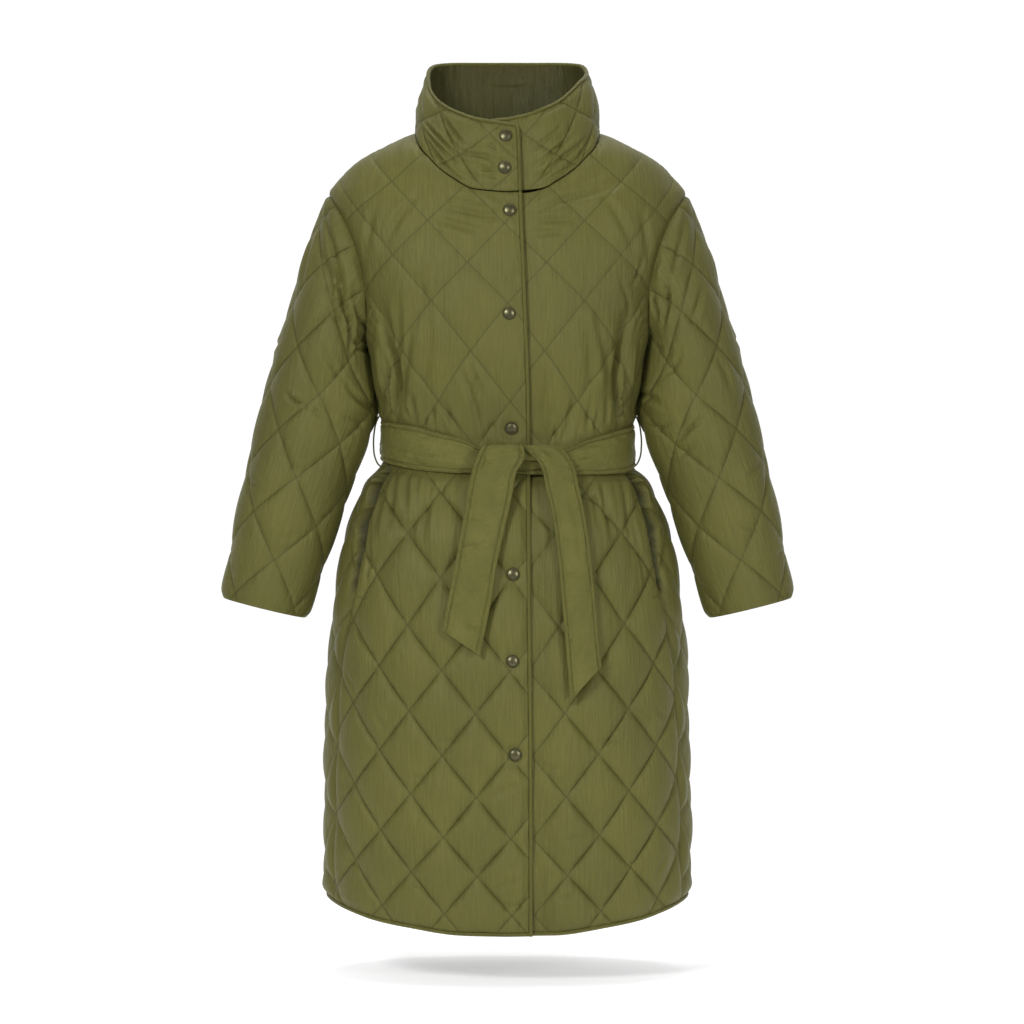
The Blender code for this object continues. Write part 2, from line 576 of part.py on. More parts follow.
def build_mesh(name, vertices, faces, material, sharp=40):
    """An object from points and faces, with its faces turned outwards."""
    mesh = bpy.data.meshes.new(name)
    shape = bmesh.new()
    corners = [shape.verts.new(point) for point in vertices]
    for face in faces:
        shape.faces.new([corners[i] for i in face])
    bmesh.ops.recalc_face_normals(shape, faces=shape.faces)
    if shape.calc_volume(signed=True) < 0:
        bmesh.ops.reverse_faces(shape, faces=shape.faces)
    bmesh.ops.triangulate(shape, faces=shape.faces)
    for face in shape.faces:
        face.smooth = True
    shape.to_mesh(mesh)
    shape.free()
    mesh.set_sharp_from_angle(angle=math.radians(sharp))
    mesh.materials.append(material)
    piece = bpy.data.objects.new(name, mesh)
    bpy.context.scene.collection.objects.link(piece)
    return piece


OUTER_PARTS = (0.0, 0.23, 0.77)   # stitch lines and the shoulders of each padded diamond
BACK_PARTS = (0.0, 0.5)
INNER_PARTS = (0.0, 0.5)
INNER_CLEAR = 0.010


def quilted_piece(name, form, quilt, outline, material, shape, extra=(), outer_parts=OUTER_PARTS,
                  to_the_edge=True):
    """A piece of quilted cloth: an outline cut from the lattice and laid on a form.

    shape(station, along) gives the share of puff that is left and a push along the form's normal;
    extra lines run along folds. Both faces share the cut edge, so the piece is one closed solid. Stitch
    lines that run to the edge put a point on it.
    """
    outline = inset(np.array(outline), HALF_GAP)

    points, rows, across = lattice_lines(quilt, outline, outer_parts)
    nearest, inside = distance_to(outline, points)
    usable = nearest > KEEP_CLEAR
    kept, lines, order = [], [], {}

    def number(index):
        if index not in order:
            order[index] = len(kept)
            kept.append(points[index])
        return order[index]

    runs = [(i, [i * across + j for j in range(across)]) for i in range(rows)]
    runs += [(j, [i * across + j for i in range(rows)]) for j in range(across)]
    for place, run in runs:
        run = [index for index in run if usable[index]]
        stitched = place % len(outer_parts) == 0
        for a, b in zip(run[:-1], run[1:]):
            if inside[a] and inside[b] or to_the_edge and stitched and (inside[a] or inside[b]):
                lines.append((number(a), number(b)))
    for path in extra:
        path = [np.array(point) for point in path]
        first = len(kept)
        kept.extend(path)
        lines += [(first + i, first + i + 1) for i in range(len(path) - 1)]

    flat, faces = triangles_of(outline, kept, lines)
    loop = rim_of(faces)
    edge = flat[loop]
    used = sorted({i for face in faces for i in face})
    renumber = {old: new for new, old in enumerate(used)}
    flat = flat[used]
    faces = [[renumber[i] for i in face] for face in faces]
    loop = [renumber[i] for i in loop]

    nearest, _ = distance_to(edge, flat)
    share, push = shape(flat[:, 0], flat[:, 1])
    held = 1 - (1 - np.minimum(nearest / SEAM_PULL, 1.0)) ** 2
    lift = PUFF * quilt.puff(flat[:, 0], flat[:, 1]) * held * share + push
    outer = form.point(flat[:, 0], flat[:, 1]) + form.normal(flat[:, 0], flat[:, 1]) * lift[:, None]

    seeds = np.vstack([lattice_lines(quilt, outline, INNER_PARTS)[0], *extra])
    nearest, inside = distance_to(outline, seeds)
    inner_flat, inner_faces = triangles_of(edge, seeds[inside & (nearest > INNER_CLEAR)], [])
    drop = shape(inner_flat[:, 0], inner_flat[:, 1])[1] - WALL
    inner = form.point(inner_flat[:, 0], inner_flat[:, 1])
    inner = inner + form.normal(inner_flat[:, 0], inner_flat[:, 1]) * drop[:, None]

    # both faces share the edge points, which the second outline lists in the same order
    matched = {}
    for new, point in enumerate(inner_flat):
        gap = np.abs(edge - point).sum(axis=1)
        nearest_edge = int(gap.argmin())
        if gap[nearest_edge] < 1e-7:
            matched[nearest_edge] = new
    count = len(outer)
    all_faces = list(faces) + [[i + count for i in reversed(face)] for face in inner_faces]
    for i in range(len(loop)):
        j = (i + 1) % len(loop)
        all_faces.append([loop[j], loop[i], matched[i] + count, matched[j] + count])
    return build_mesh(name, np.vstack([outer, inner]), all_faces, material)


# ---------------------------------------------------------------- forms of the sleeve, back and collar

def through(points, count=90):
    """A smooth line through points, read at even shares of its length."""
    points = np.array(points)
    reach = np.concatenate(([0.0], np.cumsum(np.linalg.norm(np.diff(points, axis=0), axis=1))))
    slopes = np.gradient(points, reach, axis=0)
    at = np.linspace(0.0, reach[-1], count)
    i = np.clip(np.searchsorted(reach, at) - 1, 0, len(points) - 2)
    width = (reach[i + 1] - reach[i])[:, None]
    t = (at[:, None] - reach[i][:, None]) / width
    start = points[i] * (1 + 2 * t) + width * slopes[i] * t
    end = points[i + 1] * (3 - 2 * t) - width * slopes[i + 1] * (1 - t)
    return start * (1 - t) ** 2 + end * t ** 2


def hang_clear(turn):
    """1 where the sleeve carries the shoulder's line on, 0 at the underarm, where it folds back."""
    turn = (np.asarray(turn) + 180) % 360 - 180
    return smooth((HANG_TURN - np.abs(turn)) / HANG_EASE)


class SleeveForm(Form):
    """The wearer's right sleeve. Stations run round it, lengths from the cuff up to the armhole."""

    def __init__(self):
        self.turns = np.linspace(SLEEVE_SEAM_TURN - 189, SLEEVE_SEAM_TURN + 189, 127)
        z, along = armhole_seam(self.turns)
        facing = BODY.normal(z, along)
        self.facing = facing
        start = BODY.point(z, along) + SETTLE * facing
        start += facing * (UNDERARM_GAP * (1 - hang_clear(self.turns)))[:, None]
        curves = [through([point] + self.sections(turn))[::-1] for point, turn in zip(start, self.turns)]
        super().__init__(np.radians(self.turns) * SLEEVE_RADIUS, curves, outward=-1)

    @staticmethod
    def sections(turn):
        across, forward = math.cos(math.radians(turn)), math.sin(math.radians(turn))
        points = []
        for row in SLEEVE[1:]:
            middle_x, middle_z = (row.outer_x + row.inner_x) / 2, (row.outer_z + row.inner_z) / 2
            reach_x, reach_z = (row.outer_x - row.inner_x) / 2, (row.outer_z - row.inner_z) / 2
            size = math.hypot(reach_x, reach_z)
            bow = row.bow * forward ** 2
            x = middle_x + reach_x * across - reach_z / size * bow
            z = middle_z + reach_z * across + reach_x / size * bow
            depth = row.front if forward > 0 else row.back
            points.append((-x, -row.forward - depth * forward, z))
        return points

    def normal(self, station, along):
        """At the armhole the wall stands square to the body where the sleeve carries its line on."""
        station, along = np.atleast_1d(station), np.atleast_1d(along)
        own = super().normal(station, along)
        turn = np.degrees(station / SLEEVE_RADIUS)
        near = smooth(1 - (self.length(station) - along) / SLEEVE_SQUARE) * hang_clear(turn)
        body = np.column_stack([np.interp(turn, self.turns, self.facing[:, axis]) for axis in range(3)])
        mixed = own * (1 - near)[:, None] + body * near[:, None]
        return mixed / np.linalg.norm(mixed, axis=1, keepdims=True)


class BackForm(Form):
    """The body again, with lengths measured from centre back, plus to the wearer's right."""

    def __init__(self):
        self.outward = 1

    def length(self, z):
        return BODY.length(z)

    def point(self, z, along):
        z, along = np.atleast_1d(z), np.atleast_1d(along)
        return BODY.point(z, BODY.length(z) + along)


def collar_line(turn, side, share):
    """A point of the collar: degrees from centre front, which layer, share of the way up."""
    z, along = neck_seam(turn)
    base = BODY.point(z, along)[0] + SETTLE * BODY.normal(z, along)[0]
    reach = abs(turn)
    heights = COLLAR_EDGE.z_left if side > 0 else COLLAR_EDGE.z_right
    past = turn * side < 0
    top = np.array([math.copysign(COLLAR_EDGE.x(reach), turn), COLLAR_EDGE.y(reach),
                    heights(0.0 if past else reach)])
    point = base + (top - base) * share
    outward = np.array([point[0], point[1] * COLLAR_LEAN, 0.0])
    return point + outward / np.linalg.norm(outward) * COLLAR_BULGE * 4 * share * (1 - share)


class CollarForm(Form):
    """The collar. Stations run from centre back, plus to the wearer's left; lengths from the seam up."""

    PAST = 0.045                 # how far the form goes past centre front at each end

    def __init__(self):
        turns = np.linspace(0.0, 180.0, 181)
        middle = np.array([collar_line(max(turn, 0.01), 1, 0.5) for turn in turns])
        reach = np.concatenate(([0.0], np.cumsum(np.linalg.norm(np.diff(middle, axis=0), axis=1))))
        self.half = reach[-1]
        stations = np.linspace(-self.half - self.PAST, self.half + self.PAST, 221)
        curves = []
        for station in stations:
            side = math.copysign(1, station)
            from_front = self.half - abs(station)
            turn = math.copysign(np.interp(abs(from_front), reach, turns), from_front) * side
            rise = np.linspace(0.0, 1.0, 25)
            curves.append(np.array([collar_line(turn or 1e-4, side, share) for share in rise]))
        super().__init__(stations, curves)


BACK, SLEEVE_TUBE, COLLAR = BackForm(), SleeveForm(), CollarForm()


# ---------------------------------------------------------------- what presses and moves the cloth

def belt_share(z, along):
    """0 under the belt, 1 clear of it."""
    top, bottom = BELT_EDGE.top(along), BELT_EDGE.bottom(along)
    clear = np.maximum(z - top, bottom - z)
    return smooth((clear - BELT_CLEAR) / BELT_PRESS)


def snap_share(x, z, on_collar):
    """0 under a snap cap, 1 clear of it."""
    share = np.ones_like(z)
    for snap in SNAPS:
        if snap.on_collar == on_collar:
            away = np.hypot(x - snap.x, z - snap.z)
            share = share * smooth((away - SNAP_RADIUS) / SNAP_PRESS)
    return share


def fold_path(fold):
    """A fold's path as (height, distance from centre front)."""
    x, z = np.array(fold.path).T
    return through(np.column_stack([z, BODY.along(x * fold.side, z)]), 9)


def fold_push(z, along, side):
    push = np.zeros_like(z)
    for fold in FOLDS:
        if fold.side != side:
            continue
        path = fold_path(fold)
        nearest, share = np.full_like(z, 1e9), np.zeros_like(z)
        for i, (start, end) in enumerate(zip(path[:-1], path[1:])):
            edge = end - start
            t = np.clip(((z - start[0]) * edge[0] + (along - start[1]) * edge[1]) / (edge @ edge), 0, 1)
            away = np.hypot(z - start[0] - t * edge[0], along - start[1] - t * edge[1])
            share = np.where(away < nearest, (i + t) / (len(path) - 1), share)
            nearest = np.minimum(nearest, away)
        depth = fold.depth * np.sin(np.pi * (FOLD_START + FOLD_RUN * share))
        push -= depth * np.exp(-(nearest / fold.width) ** 2 * FOLD_FALL)
    return push


def fold_lines(side):
    """Lines along each fold and beside it, so that the faces can follow it."""
    lines = []
    for fold in FOLDS:
        if fold.side == side:
            path = fold_path(fold)
            lines += [path + np.array([0.0, offset * fold.width]) for offset in (-1.0, 0.0, 1.0)]
    return lines


def snap_lines(on_collar):
    """A ring round each snap cap, where the cloth lies flat under it."""
    rings = []
    for snap in SNAPS:
        if snap.on_collar == on_collar:
            place = snap_place(snap)
            turn = np.linspace(0.0, 2 * math.pi, 8)
            reach = SNAP_RADIUS + SNAP_RING
            rings.append(np.column_stack([place[0] + reach * np.cos(turn), place[1] + reach * np.sin(turn)]))
    return rings


def snap_place(snap):
    """Where a snap sits on its form, as (station, along)."""
    if not snap.on_collar:
        return snap.z, float(BODY.along(snap.x, snap.z)[0])
    station = -(COLLAR.half + snap.x)
    rise = np.linspace(0.0, float(COLLAR.length(station)), 60)
    return station, float(np.interp(snap.z, COLLAR.point(np.full_like(rise, station), rise)[:, 2], rise))


def lap_line():
    """A line down the left front, just clear of the right front's edge over it."""
    z = np.linspace(*LAP_LINE, 26)
    return np.column_stack([z, EDGE.edge(z) + LAP_CLEAR])


def shoulder_lines(side):
    """Lines beside the shoulder seam, where the front bends over the shoulder."""
    lines = []
    for line in SHOULDER_LINES:
        z = np.linspace(line.top, SHOULDER_LOW, 7)
        lines.append(np.column_stack([z, side * (BODY.side(z) - line.away)]))
    return lines


def belt_lines(form, low, high):
    """Lines between two distances: along the belt, just clear of its edges, and through its gathers.

    They stop a little short of the side seams, which both panels cross with the same points.
    """
    lines = []
    for line in BELT_LINES:
        def height(from_front):
            top, bottom = BELT_EDGE.top(from_front), BELT_EDGE.bottom(from_front)
            return top + (bottom - top) * line.share + line.away

        ends = []
        for end in (low, high):
            side = math.copysign(1, end)
            at_seam = height(side * side_seam(WAIST) if form is BODY else -side * side_seam(WAIST))
            seam = side_seam(at_seam)
            limit = (seam if form is BODY else BODY.length(at_seam) - seam) - SEAM_CLEAR
            ends.append(side * min(abs(end), float(limit)))
        along = np.linspace(*ends, round((ends[1] - ends[0]) / BELT_LINE_STEP))
        from_front = along if form is BODY else along - np.copysign(BODY.length(WAIST), along)
        lines.append(np.column_stack([height(from_front), along]))
    return lines


def right_shape(z, along):
    share = belt_share(z, along) * snap_share(along, z, False)
    near = np.maximum(0.0, 1 - (along + side_seam(z)) / POCKET_WIDTH)
    gape = POCKET_GAPE * pocket_share(z) * near ** 2
    return share, SETTLE + fold_push(z, along, -1) + gape


def left_shape(z, along):
    lap = smooth((along - EDGE.edge(z) - LAP_CLEAR) / LAP_EASE)
    share = belt_share(z, along) * (LAP_PUFF + (1 - LAP_PUFF) * lap)
    near = np.maximum(0.0, 1 - (side_seam(z) - along) / POCKET_WIDTH)
    gape = POCKET_GAPE * pocket_share(z) * near ** 2
    return share, SETTLE - LAP_SINK * (1 - lap) + fold_push(z, along, 1) + gape


def back_shape(z, along):
    from_front = along - np.copysign(BODY.length(z), along)
    near = np.maximum(0.0, 1 - (np.abs(from_front) - side_seam(z)) / POCKET_SINK_WIDTH)
    sink = POCKET_SINK * pocket_share(z) * np.minimum(near, 1.0)
    return belt_share(z, from_front), SETTLE - sink


def sleeve_shape(station, along):
    settled = smooth((SLEEVE_TUBE.length(station) - along) / SLEEVE_SETTLE)
    return np.ones_like(along), SETTLE * settled


def collar_shape(station, along):
    settled = smooth(along / COLLAR_SETTLE)
    from_front = COLLAR.half - np.abs(station)
    x = np.where(station < 0, -from_front, from_front)
    under = np.where(station > 0, 1 - smooth((from_front - COLLAR_UNDER) / LAP_EASE), 0.0)
    z = COLLAR.point(station, along)[:, 2]
    share = np.where(station < 0, snap_share(x, z, True), 1.0) * (1 - (1 - LAP_PUFF) * under)
    return share, SETTLE * settled - LAP_SINK * under


# ---------------------------------------------------------------- outlines

def neck_turn(x):
    """Degrees round the neck at a small distance from centre front."""
    turns = np.linspace(0.0, 12.0, 49)
    return float(np.interp(abs(x), np.abs(neck_seam(turns)[1]), turns)) * math.copysign(1, x)


def neck_part(start, end, count):
    z, along = neck_seam(np.linspace(start, end, count))
    return list(zip(z, along))


def shoulder_part(side):
    z = np.linspace(NECK.z(90), SLEEVE[0].outer_z, 15)[1:-1]
    return list(zip(z, side * BODY.side(z)))


def armhole_part(first, last, side):
    z, along = armhole_seam(np.linspace(first, last, 21))
    return list(zip(z, -side * along))


def side_part(side):
    top, bottom = SLEEVE[0].inner_z, hem_height(SEAM_REACH) + BINDING
    z = np.concatenate([np.linspace(top, -0.33, 6), np.linspace(-0.33, -0.50, 18)[1:],
                        np.linspace(-0.50, bottom, 24)[1:]])[1:-1]
    return list(zip(z, side * side_seam(z)))


def hem_part(start, end, count):
    along = np.linspace(start, end, count)
    return list(zip(hem_height(along) + BINDING + SEAM_GAP, along))


def front_outline(side, edge):
    """side is -1 for the wearer's right; edge(z) is the front edge, as a distance from centre front."""
    low = float(hem_height(edge(HEM_FRONT))) + BINDING + SEAM_GAP
    z = np.linspace(low, NECK.z(neck_turn(edge(NECK_FRONT))), 44)[:-1]
    points = list(zip(z, edge(z)))
    points += neck_part(neck_turn(float(edge(NECK_FRONT))), side * 90, 16)[:-1]
    points += [(NECK.z(90), side * BODY.side(NECK.z(90)))]
    points += shoulder_part(side)
    points += armhole_part(0, 180, side)
    points += side_part(side)
    points += hem_part(side * side_seam(SEAM_LOW), float(edge(HEM_FRONT)), 22)[:-1]
    return points


def back_outline():
    """Heights and distances from centre back, plus to the wearer's right."""
    def from_back(points):
        return [(z, BODY.length(z) - abs(along)) for z, along in points]

    def under(z):
        return UNDERLAP * smooth((pocket_share(z) - 0.6) / 0.4)

    half = from_back(neck_part(-180, -90, 14))
    half += from_back(shoulder_part(-1))
    half += from_back(armhole_part(0, -180, -1))
    half += [(z, along + under(z)) for z, along in from_back(side_part(-1))]
    along = np.linspace(float(BODY.length(SEAM_LOW) - side_seam(SEAM_LOW)), 0.0, 20)
    half += list(zip(hem_height(BODY.length(HEM_LEVEL) - along) + BINDING + SEAM_GAP, along))
    mirrored = [(z, -along) for z, along in reversed(half[1:-1])]
    return half + mirrored


def sleeve_outline():
    low, high = [math.radians(SLEEVE_SEAM_TURN + half) * SLEEVE_RADIUS for half in (-180, 180)]
    around = np.linspace(low, high, 41)
    gap = SEAM_GAP * (3 - 2 * hang_clear(np.degrees(around / SLEEVE_RADIUS)))
    top = list(zip(around, SLEEVE_TUBE.length(around) - gap))
    side = [(high, SLEEVE_TUBE.length(high) * share) for share in np.linspace(1, 0, 22)[1:-1]]
    cuff = [(station, 0.0) for station in np.linspace(high, low, 26)]
    other = [(low, SLEEVE_TUBE.length(low) * share) for share in np.linspace(0, 1, 22)[1:-1]]
    return top + side + cuff + other


def collar_edge_line(margin):
    """The collar's free edge, moved in by a margin: up its right end, round the top, down its left end."""
    right, left = -(COLLAR.half + COLLAR_ENDS[0]) + margin, COLLAR.half + COLLAR_ENDS[1] - margin
    corner = COLLAR_CORNER - margin
    points = []
    for station, turn in ((right, 1), (left, -1)):
        top = COLLAR.length(station) - margin
        up = [(station, BASE_GAP + top * share) for share in np.linspace(0, 1, 7)[:-1]]
        up[-1] = (station, top - corner)
        bend = []
        for degrees in (30, 60, 90):
            radians = math.radians(degrees)
            bend.append((station + turn * corner * (1 - math.cos(radians)),
                         top - corner + corner * math.sin(radians)))
        points.append(up + bend)
    first, last = points[0][-1][0], points[1][-1][0]
    across = [(station, COLLAR.length(station) - margin) for station in np.linspace(first, last, 42)[1:-1]]
    return points[0] + across + points[1][::-1]


def collar_outline():
    edge = collar_edge_line(BINDING + 2 * SEAM_GAP)
    first, last = edge[0][0], edge[-1][0]
    base = [(station, BASE_GAP) for station in np.linspace(last, first, 44)[1:-1]]
    return edge + base


# ---------------------------------------------------------------- solid strips

def strip(name, rings, material, closed=False, sharp=40):
    """A solid from a run of equal rings, capped at its ends or closed on itself."""
    size, count = len(rings[0]), len(rings)
    vertices = [tuple(point) for ring in rings for point in ring]
    faces = []
    for i in range(count if closed else count - 1):
        j = (i + 1) % count
        for k in range(size):
            m = (k + 1) % size
            faces.append((i * size + k, i * size + m, j * size + m, j * size + k))
    if not closed:
        faces += [tuple(range(size)), tuple((count - 1) * size + k for k in range(size))]
    return build_mesh(name, vertices, faces, material, sharp)


BINDING_FACE, BINDING_BACK = 0.0010, 0.0004     # a bound edge stands this far out of its cloth's two faces
BINDING_ROUND = 0.3                             # share of its width over which it is rounded


def on_form(form, station, along, lift):
    station, along, lift = np.atleast_1d(station), np.atleast_1d(along), np.atleast_1d(lift)
    return form.point(station, along) + form.normal(station, along) * lift[:, None]


def binding(name, form, edge, material, shape, inward):
    """A bound edge: a rounded bar that fills the last few millimetres up to a free edge."""
    edge = np.array(edge)
    step = np.gradient(edge, axis=0)
    step /= np.linalg.norm(step, axis=1, keepdims=True)
    inside = np.column_stack([-step[:, 1], step[:, 0]]) * inward * BINDING
    share, push = shape(edge[:, 0], edge[:, 1])
    face, wall = push + BINDING_FACE * np.minimum(share, 1.0), push - WALL - BINDING_BACK
    middle = (face + wall) / 2
    profile = ((1.0, face), (BINDING_ROUND, face), (0.0, middle), (BINDING_ROUND, wall), (1.0, wall))
    corners = [on_form(form, *(edge + inside * across).T, lift) for across, lift in profile]
    rings = [[corner[i] for corner in corners] for i in range(len(edge))]
    return strip(name, rings, material)


def ribbon(name, rows, material):
    """A flat strap through rows of two edge points, as thick as the belt."""
    left, right = [], []
    for row in rows:
        for x, z, points in ((row.left_x, row.left_z, left), (row.right_x, row.right_z, right)):
            points.append(on_form(BODY, z, BODY.along(x, z), row.stand)[0])
    left, right = np.array(left), np.array(right)
    down = np.gradient((left + right) / 2, axis=0)
    facing = np.cross(right - left, down)
    facing /= np.linalg.norm(facing, axis=1, keepdims=True)
    half = facing * BELT_THICK / 2
    corner = (right - left) * TAIL_CORNER
    rings = []
    for i in range(len(rows)):
        rings.append([left[i] + corner[i] - half[i], right[i] - corner[i] - half[i], right[i],
                      right[i] - corner[i] + half[i], left[i] + corner[i] + half[i], left[i]])
    return strip(name, rings, material)


# ---------------------------------------------------------------- the pieces

def clear_scene():
    for item in list(bpy.data.objects):
        bpy.data.objects.remove(item)


def principled(name, colour, roughness, metallic=0.0):
    material = bpy.data.materials.new(name)
    material.use_nodes = True
    shader = material.node_tree.nodes["Principled BSDF"]
    shader.inputs["Base Color"].default_value = (*colour, 1.0)
    shader.inputs["Roughness"].default_value = roughness
    shader.inputs["Metallic"].default_value = metallic
    return material


def make_fronts(cloth):
    margin = BINDING + SEAM_GAP
    quilted_piece("front_right", BODY, BodyQuilt("right"),
                  front_outline(-1, lambda z: EDGE.edge(z) - margin), cloth, right_shape,
                  fold_lines(-1) + belt_lines(BODY, -1.0, 0.045) + snap_lines(False) + shoulder_lines(-1))
    quilted_piece("front_left", BODY, BodyQuilt("left"),
                  front_outline(1, lambda z: left_edge(z) + margin), cloth, left_shape,
                  fold_lines(1) + belt_lines(BODY, -0.045, 1.0) + [lap_line()] + shoulder_lines(1))


def make_back(cloth):
    quilted_piece("back", BACK, BodyQuilt("back"), back_outline(), cloth, back_shape,
                  belt_lines(BACK, -1.0, 1.0), outer_parts=BACK_PARTS)


def sleeve_spread(along):
    """How wide the sleeve is at a height, against its nominal radius."""
    widening = smooth(np.asarray(along) / SLEEVE_SPREAD_REACH)
    return SLEEVE_CUFF_SPREAD + (SLEEVE_ARM_SPREAD - SLEEVE_CUFF_SPREAD) * widening


def make_sleeves(cloth):
    quilt = Quilt(SLEEVE_QUILT_WIDTH, SLEEVE_QUILT_HEIGHT, math.pi / 2 * SLEEVE_RADIUS, SLEEVE_QUILT_START,
                  sleeve_spread)
    right = quilted_piece("sleeve_right", SLEEVE_TUBE, quilt, sleeve_outline(), cloth, sleeve_shape,
                          to_the_edge=False)
    mesh = right.data.copy()
    mesh.name = "sleeve_left"
    mesh.transform(Matrix.Scale(-1, 4, Vector((1, 0, 0))))
    mesh.flip_normals()
    left = bpy.data.objects.new("sleeve_left", mesh)
    bpy.context.scene.collection.objects.link(left)


def make_collar(cloth):
    across, up = COLLAR_CROSSING
    width = 2 * (COLLAR.half - across) / COLLAR_DIAMONDS
    quilt = Quilt(width, COLLAR_QUILT_HEIGHT, -(COLLAR.half - across), up)
    quilted_piece("collar", COLLAR, quilt, collar_outline(), cloth, collar_shape, snap_lines(True))


def left_edge(z):
    return EDGE.edge(z) - LAP_WIDTH


def make_bindings(cloth):
    for name, edge, shape, side in (("binding_front_right", EDGE.edge, right_shape, 1),
                                    ("binding_front_left", left_edge, left_shape, -1)):
        top = NECK.z(abs(neck_turn(float(edge(NECK_FRONT))))) - 2 * SEAM_GAP
        z = np.linspace(float(hem_height(edge(HEM_FRONT))), float(top), 44)
        binding(name, BODY, np.column_stack([z, edge(z)]), cloth, shape, -side)
    margin = BINDING + SEAM_GAP
    half = float(BODY.length(HEM_LEVEL))
    start, end = float(EDGE.edge(HEM_FRONT)) - margin, float(left_edge(HEM_FRONT)) + margin - 2 * half
    along = np.linspace(start, end, 62)

    def hem_shape(z, along):
        under_the_lap = along < -1.5 * half
        return np.ones_like(z), np.where(under_the_lap, left_shape(z, along + 2 * half)[1], SETTLE)

    edge = np.column_stack([hem_height(along), along])
    binding("binding_hem", BODY, edge, cloth, hem_shape, 1)
    binding("binding_collar", COLLAR, collar_edge_line(0.0), cloth, collar_shape, -1)


def make_belt(cloth):
    half = float(BODY.length(BELT_BACK))
    along = np.linspace(-half, half, 65)[:-1]
    top, bottom = BELT_EDGE.top(along), BELT_EDGE.bottom(along)
    inner, outer = SETTLE + BELT_LIFT, SETTLE + BELT_LIFT + BELT_THICK
    edges = {lift: [on_form(BODY, edge, along, np.full_like(along, lift)) for edge in (top, bottom)]
             for lift in (inner, outer)}
    profile = ((0.0, inner), (BELT_CORNER, outer), (1 - BELT_CORNER, outer), (1.0, inner))
    corners = [edges[lift][0] * (1 - share) + edges[lift][1] * share for share, lift in profile]
    strip("belt_band", [[corner[i] for corner in corners] for i in range(len(along))], cloth, closed=True)
    ribbon("belt_tail_right", TAIL_RIGHT, cloth)
    ribbon("belt_tail_left", TAIL_LEFT, cloth)
    rings = []
    turns = np.linspace(0.0, 2 * math.pi, 11)[:-1]
    for share in np.linspace(0.0, 1.0, 9):
        size = math.sqrt(max(KNOT_END, 1 - (2 * share - 1) ** 4))
        x = KNOT_LEFT + KNOT_WIDTH * share
        z = KNOT_Z + KNOT_HALF_HEIGHT * size * np.cos(turns)
        lift = KNOT_OFF + KNOT_HALF_THICK * size * np.sin(turns)
        rings.append(list(on_form(BODY, z, BODY.along(np.full_like(z, x), z), lift)))
    strip("belt_knot", rings, cloth, sharp=60)


CARRIER_PATH = ((0.1568, -0.3405), (0.1622, -0.3500), (0.1650, -0.3640), (0.1656, -0.3800), (0.1640, -0.3930),
                (0.1602, -0.4040))      # (x, z) of a thread carrier from above the belt to below it
CARRIER_Y = -0.012


def make_carriers(thread):
    for name, side in (("belt_loop_right", -1), ("belt_loop_left", 1)):
        line = bpy.data.curves.new(name, "CURVE")
        line.dimensions = "3D"
        line.bevel_depth, line.bevel_resolution, line.use_fill_caps = THREAD, 1, True
        spline = line.splines.new("POLY")
        points = through([(side * x, CARRIER_Y, z) for x, z in CARRIER_PATH], 9)
        spline.points.add(len(points) - 1)
        for knot, point in zip(spline.points, points):
            knot.co = (*point, 1.0)
        line.materials.append(thread)
        piece = bpy.data.objects.new(name, line)
        bpy.context.scene.collection.objects.link(piece)


SNAP_PROFILE = ((1.0, 0.0), (1.0, 0.0012), (0.88, 0.0021), (0.70, 0.0014), (0.40, 0.0018))


def make_snaps(metal):
    for number, snap in enumerate(SNAPS, 1):
        mesh = bpy.data.meshes.new(f"snap_{number}")
        shape = bmesh.new()
        profile = [shape.verts.new((share * SNAP_RADIUS, 0.0, height)) for share, height in SNAP_PROFILE]
        edges = [shape.edges.new(pair) for pair in zip(profile[:-1], profile[1:])]
        bmesh.ops.spin(shape, geom=profile + edges, cent=(0, 0, 0), axis=(0, 0, 1), angle=2 * math.pi,
                       steps=10, use_merge=True)
        bmesh.ops.holes_fill(shape, edges=[edge for edge in shape.edges if edge.is_boundary])
        bmesh.ops.recalc_face_normals(shape, faces=shape.faces)
        shape.to_mesh(mesh)
        shape.free()
        mesh.materials.append(metal)
        form, place = COLLAR if snap.on_collar else BODY, snap_place(snap)
        point = on_form(form, *place, SETTLE + 3 * SEAM_GAP)[0]
        facing = Vector(form.normal(*place)[0])
        piece = bpy.data.objects.new(f"snap_{number}", mesh)
        piece.matrix_world = Matrix.Translation(point) @ facing.to_track_quat("Z", "Y").to_matrix().to_4x4()
        bpy.context.scene.collection.objects.link(piece)


def main():
    clear_scene()
    cloth = principled("quilted_cloth", CLOTH_COLOUR, 0.55)
    belt_cloth = principled("belt_cloth", CLOTH_COLOUR, 0.55)
    bound = principled("binding", CLOTH_COLOUR, 0.6)
    thread = principled("thread", CLOTH_COLOUR, 0.8)
    metal = principled("snap_metal", METAL_COLOUR, 0.35, 1.0)
    make_fronts(cloth)
    make_back(cloth)
    make_sleeves(cloth)
    make_collar(cloth)
    make_bindings(bound)
    make_belt(belt_cloth)
    make_carriers(thread)
    make_snaps(metal)


main()
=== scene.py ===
# %% [markdown]
# # A belted quilted coat
#
# The coat hangs open and hollow, as if somebody stood in it. Each cut piece is made the way a maker works:
# quilted yardage first, then a pattern piece cut out of it, then the piece laid on a curved form. This
# first cell loads the fixed frame that every piece rides on and keeps its size.

# %%
import math
from collections import namedtuple

import bmesh
import bpy
import numpy as np
from mathutils import Matrix, Vector


